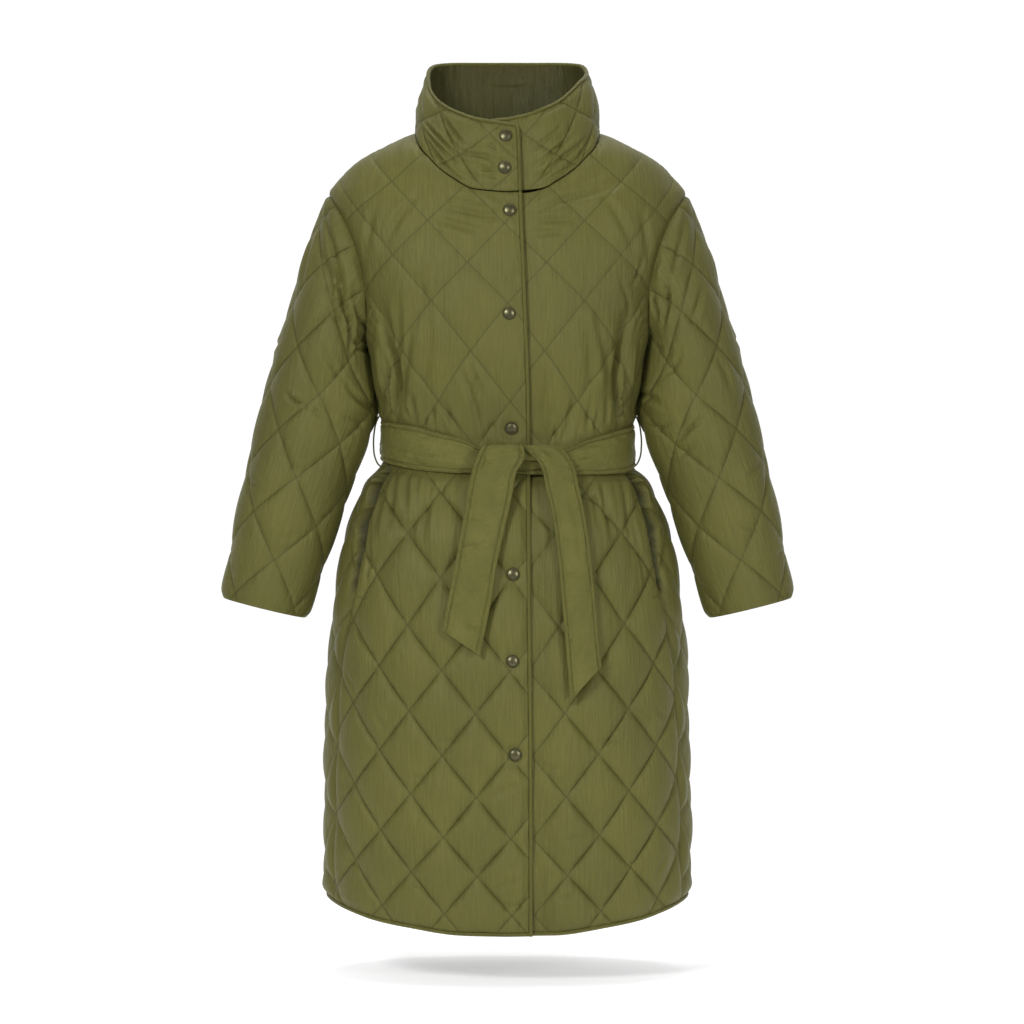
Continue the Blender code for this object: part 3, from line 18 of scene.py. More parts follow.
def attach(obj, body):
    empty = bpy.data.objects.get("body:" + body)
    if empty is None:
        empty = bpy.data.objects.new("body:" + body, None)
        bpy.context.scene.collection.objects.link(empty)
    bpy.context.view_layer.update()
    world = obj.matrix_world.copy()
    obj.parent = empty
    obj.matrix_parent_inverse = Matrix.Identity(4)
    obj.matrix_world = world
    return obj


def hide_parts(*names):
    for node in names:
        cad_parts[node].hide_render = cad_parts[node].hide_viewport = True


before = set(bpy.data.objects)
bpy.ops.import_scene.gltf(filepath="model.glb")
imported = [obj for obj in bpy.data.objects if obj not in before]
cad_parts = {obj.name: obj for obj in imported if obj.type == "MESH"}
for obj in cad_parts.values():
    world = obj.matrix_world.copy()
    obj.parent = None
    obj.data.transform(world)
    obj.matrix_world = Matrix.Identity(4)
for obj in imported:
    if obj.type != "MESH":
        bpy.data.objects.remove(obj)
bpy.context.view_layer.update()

# %% [markdown]
# ## Smooth tables
#
# A garment is easiest to describe by a few rows: its width and depth at some heights, the height of its hem
# at some places. A `Curve` reads between two rows smoothly and never swings past them, as a spline might.

# %%
WALL = 0.0030               # cloth, padding and lining pressed together
PUFF = 0.0058               # how far the padding lifts the face between stitch lines
SETTLE = -0.0032            # level of the stitch lines under the form's outline
SEAM_GAP = 0.0004           # between pieces that are sewn together
BASE_GAP = 0.0006           # the collar stands this far off the neck seam
SEAM_PULL = 0.014           # over this distance a seam holds the padding down
SEAM_DIP = 0.0010           # how far the cloth turns in at a seam
SEAM_ROUND = 0.0020         # over this distance
TOPSTITCH = 0.0052          # from a seam or edge to the line of stitches beside it
TOPSTITCH_DIP = 0.0009      # depth of the groove that these stitches pull
TOPSTITCH_WIDTH = 0.0012    # and about half its width
BINDING = 0.0045            # width of the bound edges
MARGIN = BINDING - 0.0008   # the cloth runs a little way into them
LAP_SINK = 0.0064           # the lapped left front lies this far inside the right one
LAP_WIDTH = 0.046           # how far the fronts lie over each other
LAP_CLEAR = 0.003           # it stays down until this far past the right front's edge
LAP_EASE = 0.034            # and comes up over this distance
LAP_PUFF = 0.4              # share of the padding that is left under the lap
BELT_THICK = 0.003
BELT_LIFT = 0.0012          # of the belt's inner face off the cloth it presses down
BELT_CLEAR = 0.0006         # the cloth stays flat this far beside the belt
BELT_PRESS = 0.012          # and rises again over this distance
SNAP_RADIUS = 0.0075
SNAP_PRESS = 0.012          # the same round a snap cap
THREAD = 0.0011             # radius of the thread belt carriers


def smooth(share):
    share = np.clip(share, 0.0, 1.0)
    return share * share * (3 - 2 * share)


def unit(vectors):
    return vectors / np.maximum(np.linalg.norm(vectors, axis=1, keepdims=True), 1e-9)


def wrapped(value, half):
    """A number brought between minus half and half, where the two ends meet."""
    return (np.asarray(value) + half) % (2 * half) - half


def reach_along(points):
    """The distance from a line's first point to each of its points."""
    return np.concatenate(([0.0], np.cumsum(np.linalg.norm(np.diff(points, axis=0), axis=1))))


def between(where, at, values):
    """An array with a row at each of some places, read at other places."""
    return np.column_stack([np.interp(where, at, values[:, k]) for k in range(values.shape[1])])


def eased(values, slopes, i, t, width):
    """From value i to the next one, a share t of the way, with the given slopes at both."""
    start = values[i] * (1 + 2 * t) + width * slopes[i] * t
    end = values[i + 1] * (3 - 2 * t) - width * slopes[i + 1] * (1 - t)
    return start * (1 - t) ** 2 + end * t ** 2


class Curve:
    """A smooth line through a table's values that never swings past them."""

    def __init__(self, at, values):
        order = np.argsort(at)
        self.at = np.array(at, dtype=float)[order]
        self.values = np.array(values, dtype=float)[order]
        rise = np.diff(self.values) / np.diff(self.at)
        self.slopes = np.concatenate(([rise[0]], np.zeros(len(rise) - 1), [rise[-1]]))
        before, after = rise[:-1], rise[1:]
        same_way = before * after > 0
        mean = 2 * before[same_way] * after[same_way] / (before[same_way] + after[same_way])
        self.slopes[1:-1][same_way] = mean

    def __call__(self, at):
        at = np.clip(at, self.at[0], self.at[-1])
        i = np.clip(np.searchsorted(self.at, at) - 1, 0, len(self.at) - 2)
        width = self.at[i + 1] - self.at[i]
        return eased(self.values, self.slopes, i, (at - self.at[i]) / width, width)


def columns(row, table):
    """One Curve for each column of a table, read at values of its first column."""
    names = row._fields
    first = [line[0] for line in table]
    Table = namedtuple("Table", names[1:])
    return Table(*(Curve(first, [line[k] for line in table]) for k in range(1, len(names))))


# %% [markdown]
# ## The coat's measurements
#
# Heights are metres from the point between the shoulders, where the coat hangs; lengths along the cloth run
# from centre front, plus to the wearer's left.

# %%
Section = namedtuple("Section", "z half_width front back power")
SECTION = columns(Section, (        # horizontal sections, rounded as superellipses
    (0.030, 0.085, 0.062, 0.070, 2.0),
    (0.020, 0.100, 0.070, 0.076, 2.0),
    (0.0115, 0.1150, 0.078, 0.081, 2.0),
    (0.0022, 0.1350, 0.083, 0.0845, 2.015),
    (-0.0072, 0.1545, 0.0875, 0.088, 2.03),
    (-0.0171, 0.1745, 0.0915, 0.0915, 2.055),
    (-0.0307, 0.1940, 0.096, 0.096, 2.075),
    (-0.0406, 0.2040, 0.099, 0.0995, 2.09),
    (-0.0537, 0.2145, 0.1025, 0.103, 2.13),
    (-0.0690, 0.2240, 0.106, 0.107, 2.22),
    (-0.0760, 0.2243, 0.108, 0.109, 2.28),
    (-0.100, 0.219, 0.112, 0.113, 2.45),
    (-0.150, 0.205, 0.118, 0.119, 2.6),
    (-0.200, 0.190, 0.1215, 0.121, 2.6),
    (-0.244, 0.178, 0.122, 0.120, 2.6),
    (-0.272, 0.1695, 0.121, 0.118, 2.55),
    (-0.302, 0.1625, 0.1185, 0.114, 2.5),
    (-0.325, 0.1575, 0.115, 0.110, 2.4),
    (-0.345, 0.1560, 0.110, 0.106, 2.35),
    (-0.375, 0.1550, 0.106, 0.102, 2.3),
    (-0.405, 0.1580, 0.109, 0.105, 2.3),
    (-0.4253, 0.1750, 0.121, 0.117, 2.3),
    (-0.454, 0.187, 0.131, 0.127, 2.3),
    (-0.484, 0.198, 0.138, 0.134, 2.3),
    (-0.546, 0.210, 0.146, 0.143, 2.25),
    (-0.620, 0.2182, 0.151, 0.148, 2.25),
    (-0.670, 0.2225, 0.153, 0.151, 2.25),
    (-0.800, 0.2250, 0.156, 0.155, 2.25),
    (-1.000, 0.2265, 0.158, 0.158, 2.25),
))
FORM_TOP, FORM_BOTTOM = 0.030, -1.000
NECK_FRONT, HEM_FRONT = -0.0724, -0.970     # at centre front
HEM_SIDE, HEM_LEVEL = -0.930, -0.950        # at the side seams, and where the hem is measured round

NeckRow = namedtuple("NeckRow", "turn z round")
NECK = columns(NeckRow, (           # collar seam: degrees round the neck, height, degrees round the section
    (0, -0.0724, 0), (9, -0.0683, 8.8), (16, -0.0580, 14.9), (24, -0.0450, 21.5), (38, -0.0250, 31.4),
    (60, -0.0040, 48.9), (75, 0.0055, 64), (90, 0.0125, 90), (135, 0.0170, 135), (180, 0.0200, 180),
))

CollarRow = namedtuple("CollarRow", "turn x y z_right z_left")
COLLAR_EDGE = columns(CollarRow, (  # the collar's upper edge, by the same degrees
    (0, 0.000, -0.0985, 0.0134, 0.0210),
    (9, 0.038, -0.0925, 0.0203, 0.0305),
    (16, 0.060, -0.0820, 0.0285, 0.0405),
    (24, 0.076, -0.0685, 0.0375, 0.0535),
    (38, 0.0905, -0.0470, 0.0515, 0.0700),
    (60, 0.0990, -0.0220, 0.0700, 0.0800),
    (90, 0.1015, 0.0060, 0.0870, 0.0880),
    (115, 0.0970, 0.0320, 0.0975, 0.0980),
    (145, 0.0680, 0.0640, 0.1040, 0.1040),
    (180, 0.0000, 0.0790, 0.1060, 0.1060),
))
COLLAR_BULGE = 0.004                # how far the collar swells halfway up
COLLAR_LEAN = 1.1                   # it swells this much more to the front and back than to the sides
COLLAR_ENDS = 0.0172, 0.0285        # how far its right and left ends go past centre front
COLLAR_CORNER = 0.009               # radius of its two upper corners
COLLAR_UNDER = 0.022                # its left end starts to come up from under the lap at this distance
COLLAR_SETTLE = 0.016               # from the seam up, it comes to the level of the stitch lines over this

HemRow = namedtuple("HemRow", "share z")
HEM_LINE = columns(HemRow, (        # height of the hem, by the share of the way from centre front to back
    (0.0, -0.9700), (0.09, -0.9690), (0.20, -0.9610), (0.27, -0.9550), (0.34, -0.9465), (0.43, -0.9375),
    (0.50, -0.9345), (0.60, -0.9400), (0.72, -0.9530), (0.86, -0.9660), (1.0, -0.9700),
))

EdgeRow = namedtuple("EdgeRow", "z edge")
EDGE = columns(EdgeRow, (           # x of the right front's edge
    (0.060, 0.0165), (-0.0724, 0.0180), (-0.2054, 0.0232), (-0.360, 0.0280), (-0.536, 0.0283),
    (-0.746, 0.0303), (-0.970, 0.0308),
))

SideRow = namedtuple("SideRow", "z forward")
SIDE = columns(SideRow, (           # how far the side seam lies in front of the coat's widest point
    (-0.244, 0.000), (-0.330, 0.016), (-0.385, 0.029), (-0.402, 0.041), (-0.429, 0.058), (-0.462, 0.0695),
    (-0.496, 0.079), (-0.534, 0.081), (-0.560, 0.081), (-0.590, 0.077), (-0.610, 0.075), (-0.660, 0.071),
    (-0.760, 0.067), (-0.940, 0.061),
))
POCKET_TOP, POCKET_BOTTOM = -0.408, -0.562     # mouth of the pocket in the side seam
POCKET_GAPE = 0.0010        # the front's edge stands this far off the back
POCKET_EASE = 0.050         # and comes back to it over this length
POCKET_WIDTH = 0.040        # and over this width beside its edge
UNDERLAP = 0.020            # the back runs in behind the mouth this far
POCKET_SHORT = 0.0150       # the front's free edge stops this far in front of the side seam, at the top
POCKET_CLOSING = 0.80       # how much of that has gone at the bottom
POCKET_HOLLOW = 0.0120      # how deep the back lies behind it
ROLL, ROLL_HEIGHT, ROLL_TALL, ROLL_WIDE = 0.0070, -0.298, 0.054, 0.034      # of cloth over the belt

QuiltRow = namedtuple("QuiltRow", "row z rise right left pitch")
BODY_QUILT = (                      # lattice rows: height, rise at the sides, columns' origins, half width
    (-6, 0.140, 0.000, -0.0040, 0.0005, 0.0470),
    (-2, -0.0171, 0.010, -0.0040, 0.0005, 0.0470),
    (-1, -0.0632, 0.022, -0.0040, 0.0005, 0.0470),
    (0, -0.1109, 0.034, -0.0035, 0.0005, 0.0470),
    (1, -0.1594, 0.038, -0.0015, 0.0005, 0.0470),
    (2, -0.2090, 0.036, 0.0005, 0.0005, 0.0470),
    (3, -0.2669, 0.030, 0.0020, -0.0015, 0.0470),
    (4, -0.3283, 0.020, 0.0035, -0.0020, 0.0445),
    (5, -0.3827, 0.010, 0.0040, 0.0040, 0.0430),
    (6, -0.4371, 0.008, 0.0040, 0.0110, 0.0430),
    (7, -0.4878, 0.008, 0.0040, 0.0150, 0.0430),
    (8, -0.5406, 0.010, 0.0040, 0.0180, 0.0430),
    (9, -0.5994, 0.012, 0.0035, 0.0200, 0.0425),
    (10, -0.6519, 0.014, 0.0028, 0.0260, 0.0415),
    (11, -0.7034, 0.016, 0.0028, 0.0285, 0.0413),
    (12, -0.7548, 0.018, 0.0030, 0.0300, 0.0412),
    (13, -0.8037, 0.020, 0.0036, 0.0305, 0.0410),
    (14, -0.8527, 0.022, 0.0042, 0.0310, 0.0410),
    (15, -0.8982, 0.024, 0.0048, 0.0320, 0.0410),
    (16, -0.9448, 0.026, 0.0054, 0.0330, 0.0410),
    (18, -1.0400, 0.030, 0.0060, 0.0340, 0.0410),
)
BODY_DIAMOND = 0.0430, 0.0500       # half the width and height of the body's usual diamond
QUILT_ROW = columns(QuiltRow, BODY_QUILT)
ROW_AT = Curve([line[1] for line in BODY_QUILT], [line[0] for line in BODY_QUILT])

SleeveRow = namedtuple("SleeveRow", "outer_x outer_z inner_x inner_z front back forward bow")
SLEEVE = tuple(SleeveRow(*line) for line in (       # from the armhole (first row) to the cuff (last)
    (0.2240, -0.0690, 0.1785, -0.2440, 0.069, 0.069, 0.000, 0.0185),
    (0.2400, -0.1090, 0.1765, -0.2585, 0.073, 0.071, 0.000, 0.0120),
    (0.2530, -0.1451, 0.1755, -0.2720, 0.075, 0.072, 0.001, 0.0070),
    (0.2645, -0.1860, 0.1725, -0.2860, 0.075, 0.072, 0.002, 0.0030),
    (0.2805, -0.2375, 0.1685, -0.3020, 0.073, 0.070, 0.003, 0.0000),
    (0.2935, -0.2864, 0.1645, -0.3205, 0.070, 0.068, 0.004, 0.0000),
    (0.3000, -0.3100, 0.1628, -0.3430, 0.068, 0.066, 0.005, 0.0000),
    (0.3060, -0.3330, 0.1695, -0.3680, 0.066, 0.064, 0.006, 0.0000),
    (0.3165, -0.3770, 0.1850, -0.4105, 0.064, 0.061, 0.007, 0.0000),
    (0.3325, -0.4452, 0.2080, -0.4773, 0.061, 0.058, 0.010, 0.0000),
    (0.3455, -0.5196, 0.2318, -0.5490, 0.056, 0.053, 0.013, 0.0000),
    (0.3545, -0.5663, 0.2470, -0.5930, 0.052, 0.049, 0.015, 0.0000),
))
ARMHOLE_BACK_BOW = 0.012    # how far the armhole is cut in behind
SLEEVE_RADIUS = 0.066       # turns degrees round the sleeve into cloth width
SLEEVE_SEAM_TURN = 9        # degrees by which the sleeve's seam lies behind its inner line
SLEEVE_SETTLE = 0.018       # from the armhole, it comes to the level of the stitch lines over this
SLEEVE_SQUARE = 0.012       # its wall stands square to the body over this distance from the armhole
UNDERARM_SINK = 0.0030      # the seam lies deeper there, where the cloth folds back
UNDERARM_PRESS = 0.0042     # how far the sleeve leans on the body below it
SLEEVE_HEAD = 0.0026        # how far its head swells beside the armhole
SLEEVE_SPREAD = 0.806, 0.234, 0.27      # its width at the cuff, what it gains, and over what length
SLEEVE_DIAMOND = 0.083, 0.1045      # width and height of its diamonds
SLEEVE_QUILT_START = 0.0622         # height above the cuff of a crossing on its front middle line
COLLAR_QUILT_HEIGHT = 0.073
COLLAR_CROSSING = 0.0634, 0.0345    # one crossing: from centre front, above the seam
COLLAR_DIAMONDS = 7                 # between that crossing and its mirror image, round the back

BeltRow = namedtuple("BeltRow", "along top bottom")
BELT_EDGE = columns(BeltRow, (      # round the waist: distance from centre front, upper and lower edge
    (-0.420, -0.343, -0.393), (-0.300, -0.344, -0.394), (-0.205, -0.348, -0.397), (-0.121, -0.356, -0.409),
    (-0.0925, -0.363, -0.412), (-0.0545, -0.3724, -0.414), (-0.0272, -0.385, -0.414),
    (0.000, -0.3875, -0.4145), (0.063, -0.3868, -0.4157), (0.103, -0.372, -0.4157), (0.140, -0.363, -0.4145),
    (0.205, -0.353, -0.405), (0.300, -0.346, -0.396), (0.420, -0.343, -0.393),
))

TailRow = namedtuple("TailRow", "left_x left_z right_x right_z stand")
TAIL_RIGHT = tuple(TailRow(*line) for line in (     # two edges, and the distance off the coat
    (-0.0250, -0.4010, 0.0170, -0.4010, 0.0140),
    (-0.0262, -0.3880, 0.0172, -0.3880, 0.0145),
    (-0.0271, -0.3815, 0.0174, -0.3805, 0.0180),
    (-0.0300, -0.3860, 0.0188, -0.3850, 0.0215),
    (-0.0349, -0.3987, 0.0200, -0.3960, 0.0225),
    (-0.0427, -0.4276, 0.0102, -0.4240, 0.0190),
    (-0.0470, -0.4480, 0.0062, -0.4440, 0.0160),
    (-0.0535, -0.4829, -0.0018, -0.4790, 0.0135),
    (-0.0619, -0.5298, -0.0120, -0.5250, 0.0125),
    (-0.0691, -0.5670, -0.0192, -0.5700, 0.0120),
    (-0.0763, -0.6025, -0.0318, -0.6338, 0.0120),
))
TAIL_LEFT = tuple(TailRow(*line) for line in (
    (0.0170, -0.4000, 0.0590, -0.4010, 0.0092),
    (0.0150, -0.3880, 0.0600, -0.3890, 0.0094),
    (0.0140, -0.3815, 0.0619, -0.3831, 0.0108),
    (0.0200, -0.3865, 0.0660, -0.3890, 0.0137),
    (0.0319, -0.3987, 0.0716, -0.3987, 0.0162),
    (0.0379, -0.4143, 0.0764, -0.4143, 0.0167),
    (0.0445, -0.4384, 0.0824, -0.4384, 0.0162),
    (0.0511, -0.4642, 0.0884, -0.4642, 0.0147),
    (0.0553, -0.4901, 0.0932, -0.4901, 0.0137),
    (0.0601, -0.5322, 0.0980, -0.5322, 0.0132),
    (0.0661, -0.6026, 0.1046, -0.6026, 0.0132),
    (0.0728, -0.6862, 0.1088, -0.6465, 0.0132),
))

SnapRow = namedtuple("SnapRow", "x z on_collar")
SNAPS = tuple(SnapRow(*line) for line in (
    (-0.0024, -0.0039, True), (-0.0030, -0.0433, True), (0.0027, -0.0950, False), (0.0022, -0.2211, False),
    (0.0050, -0.3597, False), (0.0069, -0.5353, False), (0.0062, -0.6399, False), (0.0095, -0.7517, False),
))

# %% [markdown]
# ## The forms under the cloth
#
# A form is a curved surface read with two numbers, as a tailor reads a dummy: a station, and a length
# measured along the cloth there. Cloth laid on it keeps its width, so a pattern piece can be drawn flat and
# put on the form afterwards. Modelling each panel in place would make the quilting hard to keep even.


# %%
class Form:
    """A curved surface: at each station one curve, measured along its own length."""

    SAMPLES = 161
    STEP = 0.003
    ROUND = 0               # which of its two numbers runs round the wearer, across the cloth's grain

    def __init__(self, stations, curves, outward=1):
        self.stations = np.array(stations, dtype=float)
        self.outward = outward
        lengths, grid = [], []
        for curve in curves:
            reach = reach_along(curve)
            grid.append(between(np.linspace(0.0, reach[-1], self.SAMPLES), reach, curve))
            lengths.append(reach[-1])
        self.lengths, self.grid = np.array(lengths), np.array(grid)

    def length(self, station):
        return np.interp(station, self.stations, self.lengths)

    def point(self, station, along):
        station, along = np.atleast_1d(station).astype(float), np.atleast_1d(along).astype(float)
        rows, last = len(self.stations), self.SAMPLES - 1
        row = np.interp(station, self.stations, np.arange(rows))
        column = np.clip(along / self.length(station), 0.0, 1.0) * last
        i = np.minimum(row.astype(int), rows - 2)
        j = np.minimum(column.astype(int), last - 1)
        down, across = (row - i)[:, None], (column - j)[:, None]
        upper = self.grid[i, j] * (1 - across) + self.grid[i, j + 1] * across
        lower = self.grid[i + 1, j] * (1 - across) + self.grid[i + 1, j + 1] * across
        return upper * (1 - down) + lower * down

    def normal(self, station, along):
        station, along = np.atleast_1d(station), np.atleast_1d(along)
        by_station = self.point(station + self.STEP, along) - self.point(station - self.STEP, along)
        by_along = self.point(station, along + self.STEP) - self.point(station, along - self.STEP)
        return unit(np.cross(by_along, by_station) * self.outward)

    def lifted(self, station, along, lift):
        station, along = np.atleast_1d(station), np.atleast_1d(along)
        return self.point(station, along) + self.normal(station, along) * np.atleast_1d(lift)[:, None]


class BodyForm(Form):
    """The coat's body. Stations are heights; lengths run from centre front, plus to the wearer's left."""

    ROUND = 1

    def __init__(self):
        heights = np.linspace(FORM_BOTTOM, FORM_TOP, 260)
        curves = [self.section(z) for z in heights]
        super().__init__(heights, curves)
        fronts = [curve[:len(curve) // 2 + 1] for curve in curves]
        self.quarters = [np.linalg.norm(np.diff(front, axis=0), axis=1).sum() for front in fronts]

    @staticmethod
    def section(z):
        turn = np.linspace(0.0, math.pi, 241)
        power = 2 / SECTION.power(z)
        depth = np.where(turn < math.pi / 2, -SECTION.front(z), SECTION.back(z))
        x = SECTION.half_width(z) * np.abs(np.sin(turn)) ** power
        return np.column_stack([x, depth * np.abs(np.cos(turn)) ** power, np.full_like(x, z)])

    def point(self, z, along):
        z, along = np.atleast_1d(z), np.atleast_1d(along)
        from_front = wrapped(along, self.length(z))
        point = super().point(z, np.abs(from_front))
        point[:, 0] *= np.where(from_front < 0, -1, 1)
        return point

    def side(self, z):
        """The distance from centre front to the widest point."""
        return np.interp(z, self.stations, self.quarters)

    def column(self, z, shares):
        return super().point(np.full_like(shares, z), shares * self.length(z))[:, 0]

    def along(self, x, z):
        """The distance from centre front to a point of the front half that is given by x and height."""
        x, z = np.atleast_1d(x), np.atleast_1d(z)
        found = []
        for one_x, one_z in zip(x, z):
            shares = np.linspace(0.0, float(self.side(one_z) / self.length(one_z)), 120)
            across = np.maximum.accumulate(self.column(one_z, shares))
            share = np.interp(abs(one_x) / SECTION.half_width(one_z), across / across[-1], shares)
            found.append(math.copysign(share * self.length(one_z), one_x))
        return np.array(found)


class BackForm(BodyForm):
    """The body again, with lengths measured from centre back, plus to the wearer's right."""

    def __init__(self, body):
        self.body, self.outward = body, 1

    def length(self, z):
        return self.body.length(z)

    def point(self, z, along):
        z, along = np.atleast_1d(z), np.atleast_1d(along)
        return self.body.point(z, self.body.length(z) + along)


BODY = BodyForm()
BACK = BackForm(BODY)
print("half the waist along the cloth:", round(float(BODY.length(-0.375)), 3), "m")

# %% [markdown]
# ## Seams
#
# The neck and the armhole are curves drawn on the body form; collar and sleeve start from them, so that the
# pieces meet edge to edge. `through` draws one smooth line through a few points.


# %%
def through(points, count=90):
    """A smooth line through points, read at even shares of its length."""
    points = np.array(points)
    reach = reach_along(points)
    slopes = np.gradient(points, reach, axis=0)
    at = np.linspace(0.0, reach[-1], count)
    i = np.clip(np.searchsorted(reach, at) - 1, 0, len(points) - 2)
    width = (reach[i + 1] - reach[i])[:, None]
    return eased(points, slopes, i, (at[:, None] - reach[i][:, None]) / width, width)


def neck_seam(turn):
    """The collar seam on the body, at a number of degrees round the neck from centre front."""
    turn = np.atleast_1d(turn)
    z = NECK.z(np.abs(turn))
    x = SECTION.half_width(z) * np.abs(np.sin(np.radians(NECK.round(np.abs(turn))))) ** (2 / SECTION.power(z))
    front = np.abs(BODY.along(np.maximum(x, 1e-6), z))
    along = np.where(np.abs(turn) <= 90, front, 2 * BODY.side(z) - front)
    return z, along * np.where(turn < 0, -1, 1)


def armhole_seam(turn):
    """The armhole of the wearer's right side: 0 at the shoulder, 90 in front, 180 at the underarm."""
    turn = np.radians(np.atleast_1d(turn))
    top, under = SLEEVE[0][:2], SLEEVE[0][2:4]
    middle = np.array([top[0] + under[0], top[1] + under[1]]) / 2
    reach = np.array([top[0] - under[0], top[1] - under[1]]) / 2
    inward = np.array([-reach[1], reach[0]]) / np.linalg.norm(reach)
    bow = np.where(np.sin(turn) > 0, SLEEVE[0].bow, ARMHOLE_BACK_BOW) * np.sin(turn) ** 2
    x = middle[0] + reach[0] * np.cos(turn) + inward[0] * bow
    z = middle[1] + reach[1] * np.cos(turn) + inward[1] * bow
    front = np.abs(BODY.along(x, z))
    return z, -np.where(np.sin(turn) >= 0, front, 2 * BODY.side(z) - front)


def side_seam(z):
    return BODY.side(z) - SIDE.forward(z)


def hem_height(along):
    half = BODY.length(HEM_LEVEL)
    return HEM_LINE.z(np.abs(wrapped(along, half)) / half)


def side_roll(z, from_front):
    """How far the body stands out at its sides, where its fullness rolls over the belt."""
    across = (np.abs(from_front) - BODY.side(z)) / ROLL_WIDE
    return ROLL * np.exp(-((z - ROLL_HEIGHT) / ROLL_TALL) ** 2 - across ** 2)


def pocket_share(z):
    """0 outside the pocket's mouth, 1 along the middle of it."""
    into = np.minimum(POCKET_TOP - np.asarray(z), np.asarray(z) - POCKET_BOTTOM)
    return smooth(into / POCKET_EASE)


def pocket_gap(z):
    """How far the front's free edge stops in front of the side seam at a height."""
    z = np.asarray(z)
    down = np.clip((POCKET_TOP - z) / (POCKET_TOP - POCKET_BOTTOM), 0.0, 1.0)
    upper_end = smooth((POCKET_TOP + 0.014 - z) / 0.020)
    lower_end = smooth((z - POCKET_BOTTOM) / 0.012)
    return POCKET_SHORT * (1 - POCKET_CLOSING * down ** 0.7) * (upper_end * lower_end)


def pocket_sink(z, from_front):
    """1 where the back lies deepest behind the pocket's mouth, 0 clear of it."""
    near = smooth(1 - (np.abs(from_front) - side_seam(z)) / 0.009)
    return smooth(pocket_gap(z) / 0.003) * near


def hang_clear(turn):
    """1 where the sleeve carries the shoulder's line on, 0 at the underarm, where it folds back."""
    return smooth((150 - np.abs(wrapped(turn, 180))) / 60)


def underarm(turn):
    """1 on the sleeve's side that lies against the body."""
    return smooth((np.abs(wrapped(turn, 180)) - 120) / 40)


# %% [markdown]
# ## Sleeve and collar forms
#
# The sleeve's curves run from the cuff up to the armhole, round the arm; the collar's run from the neck
# seam up to its free edge, round the neck.


# %%
class SleeveForm(Form):
    """The wearer's right sleeve. Stations run round it, lengths from the cuff up to the armhole."""

    def __init__(self):
        self.turns = np.linspace(SLEEVE_SEAM_TURN - 189, SLEEVE_SEAM_TURN + 189, 127)
        z, along = armhole_seam(self.turns)
        self.facing = BODY.normal(z, along)
        sunk = SETTLE - UNDERARM_SINK * (1 - hang_clear(self.turns))
        start = BODY.point(z, along) + self.facing * sunk[:, None]
        curves = [through([point] + self.sections(turn))[::-1] for point, turn in zip(start, self.turns)]
        super().__init__(np.radians(self.turns) * SLEEVE_RADIUS, curves, outward=-1)

    @staticmethod
    def sections(turn):
        across, forward = math.cos(math.radians(turn)), math.sin(math.radians(turn))
        points = []
        for row in SLEEVE[1:]:
            middle_x, middle_z = (row.outer_x + row.inner_x) / 2, (row.outer_z + row.inner_z) / 2
            reach_x, reach_z = (row.outer_x - row.inner_x) / 2, (row.outer_z - row.inner_z) / 2
            size = math.hypot(reach_x, reach_z)
            bow = row.bow * forward ** 2
            x = middle_x + reach_x * across - reach_z / size * bow
            z = middle_z + reach_z * across + reach_x / size * bow
            depth = row.front if forward > 0 else row.back
            points.append((-x, -row.forward - depth * forward, z))
        return points

    def normal(self, station, along):
        """At the armhole the wall stands square to the body where the sleeve carries its line on."""
        station, along = np.atleast_1d(station), np.atleast_1d(along)
        own = super().normal(station, along)
        turn = np.degrees(station / SLEEVE_RADIUS)
        near = (smooth(1 - (self.length(station) - along) / SLEEVE_SQUARE) * hang_clear(turn))[:, None]
        return unit(own * (1 - near) + between(turn, self.turns, self.facing) * near)


def collar_line(turn, side, share):
    """A point of the collar: degrees from centre front, which layer, share of the way up."""
    z, along = neck_seam(turn)
    base = BODY.point(z, along)[0] + SETTLE * BODY.normal(z, along)[0]
    reach = abs(turn)
    heights = COLLAR_EDGE.z_left if side > 0 else COLLAR_EDGE.z_right
    past = turn * side < 0
    top = np.array([math.copysign(COLLAR_EDGE.x(reach), turn), COLLAR_EDGE.y(reach),
                    heights(0.0 if past else reach)])
    point = base + (top - base) * share[:, None]
    outward = unit(np.column_stack([point[:, 0], point[:, 1] * COLLAR_LEAN, np.zeros(len(point))]))
    return point + outward * (COLLAR_BULGE * 4 * share * (1 - share))[:, None]


class CollarForm(Form):
    """The collar. Stations run from centre back, plus to the wearer's left; lengths from the seam up."""

    PAST = 0.045                 # how far the form goes past centre front at each end

    def __init__(self):
        turns = np.linspace(0.0, 180.0, 181)
        middle = np.array([collar_line(max(turn, 0.01), 1, np.array([0.5]))[0] for turn in turns])
        reach = reach_along(middle)
        self.half = reach[-1]
        stations = np.linspace(-self.half - self.PAST, self.half + self.PAST, 221)
        curves = []
        for station in stations:
            side = math.copysign(1, station)
            from_front = self.half - abs(station)
            turn = math.copysign(np.interp(abs(from_front), reach, turns), from_front) * side
            curves.append(collar_line(turn or 1e-4, side, np.linspace(0.0, 1.0, 25)))
        super().__init__(stations, curves)


SLEEVE_TUBE, COLLAR = SleeveForm(), CollarForm()
print("half the collar along the cloth:", round(COLLAR.half, 3), "m")

# %% [markdown]
# ## The quilting
#
# Diamond quilting is two families of slanting stitch lines. Counting both families gives every point of the
# cloth two lattice numbers, whole on a stitch line, so the padding's height is a simple formula of them.


# %%
def drift(u, v, seed):
    """Soft random heights between -1 and 1, one to each unit square."""
    table = np.random.default_rng(seed).uniform(-1, 1, (64, 64))
    i, j = np.floor(u).astype(int), np.floor(v).astype(int)
    a, b = smooth(u - i), smooth(v - j)

    def corner(right, up):
        return table[(i + right) % 64, (j + up) % 64]

    low = corner(0, 0) * (1 - a) + corner(1, 0) * a
    high = corner(0, 1) * (1 - a) + corner(1, 1) * a
    return low * (1 - b) + high * b


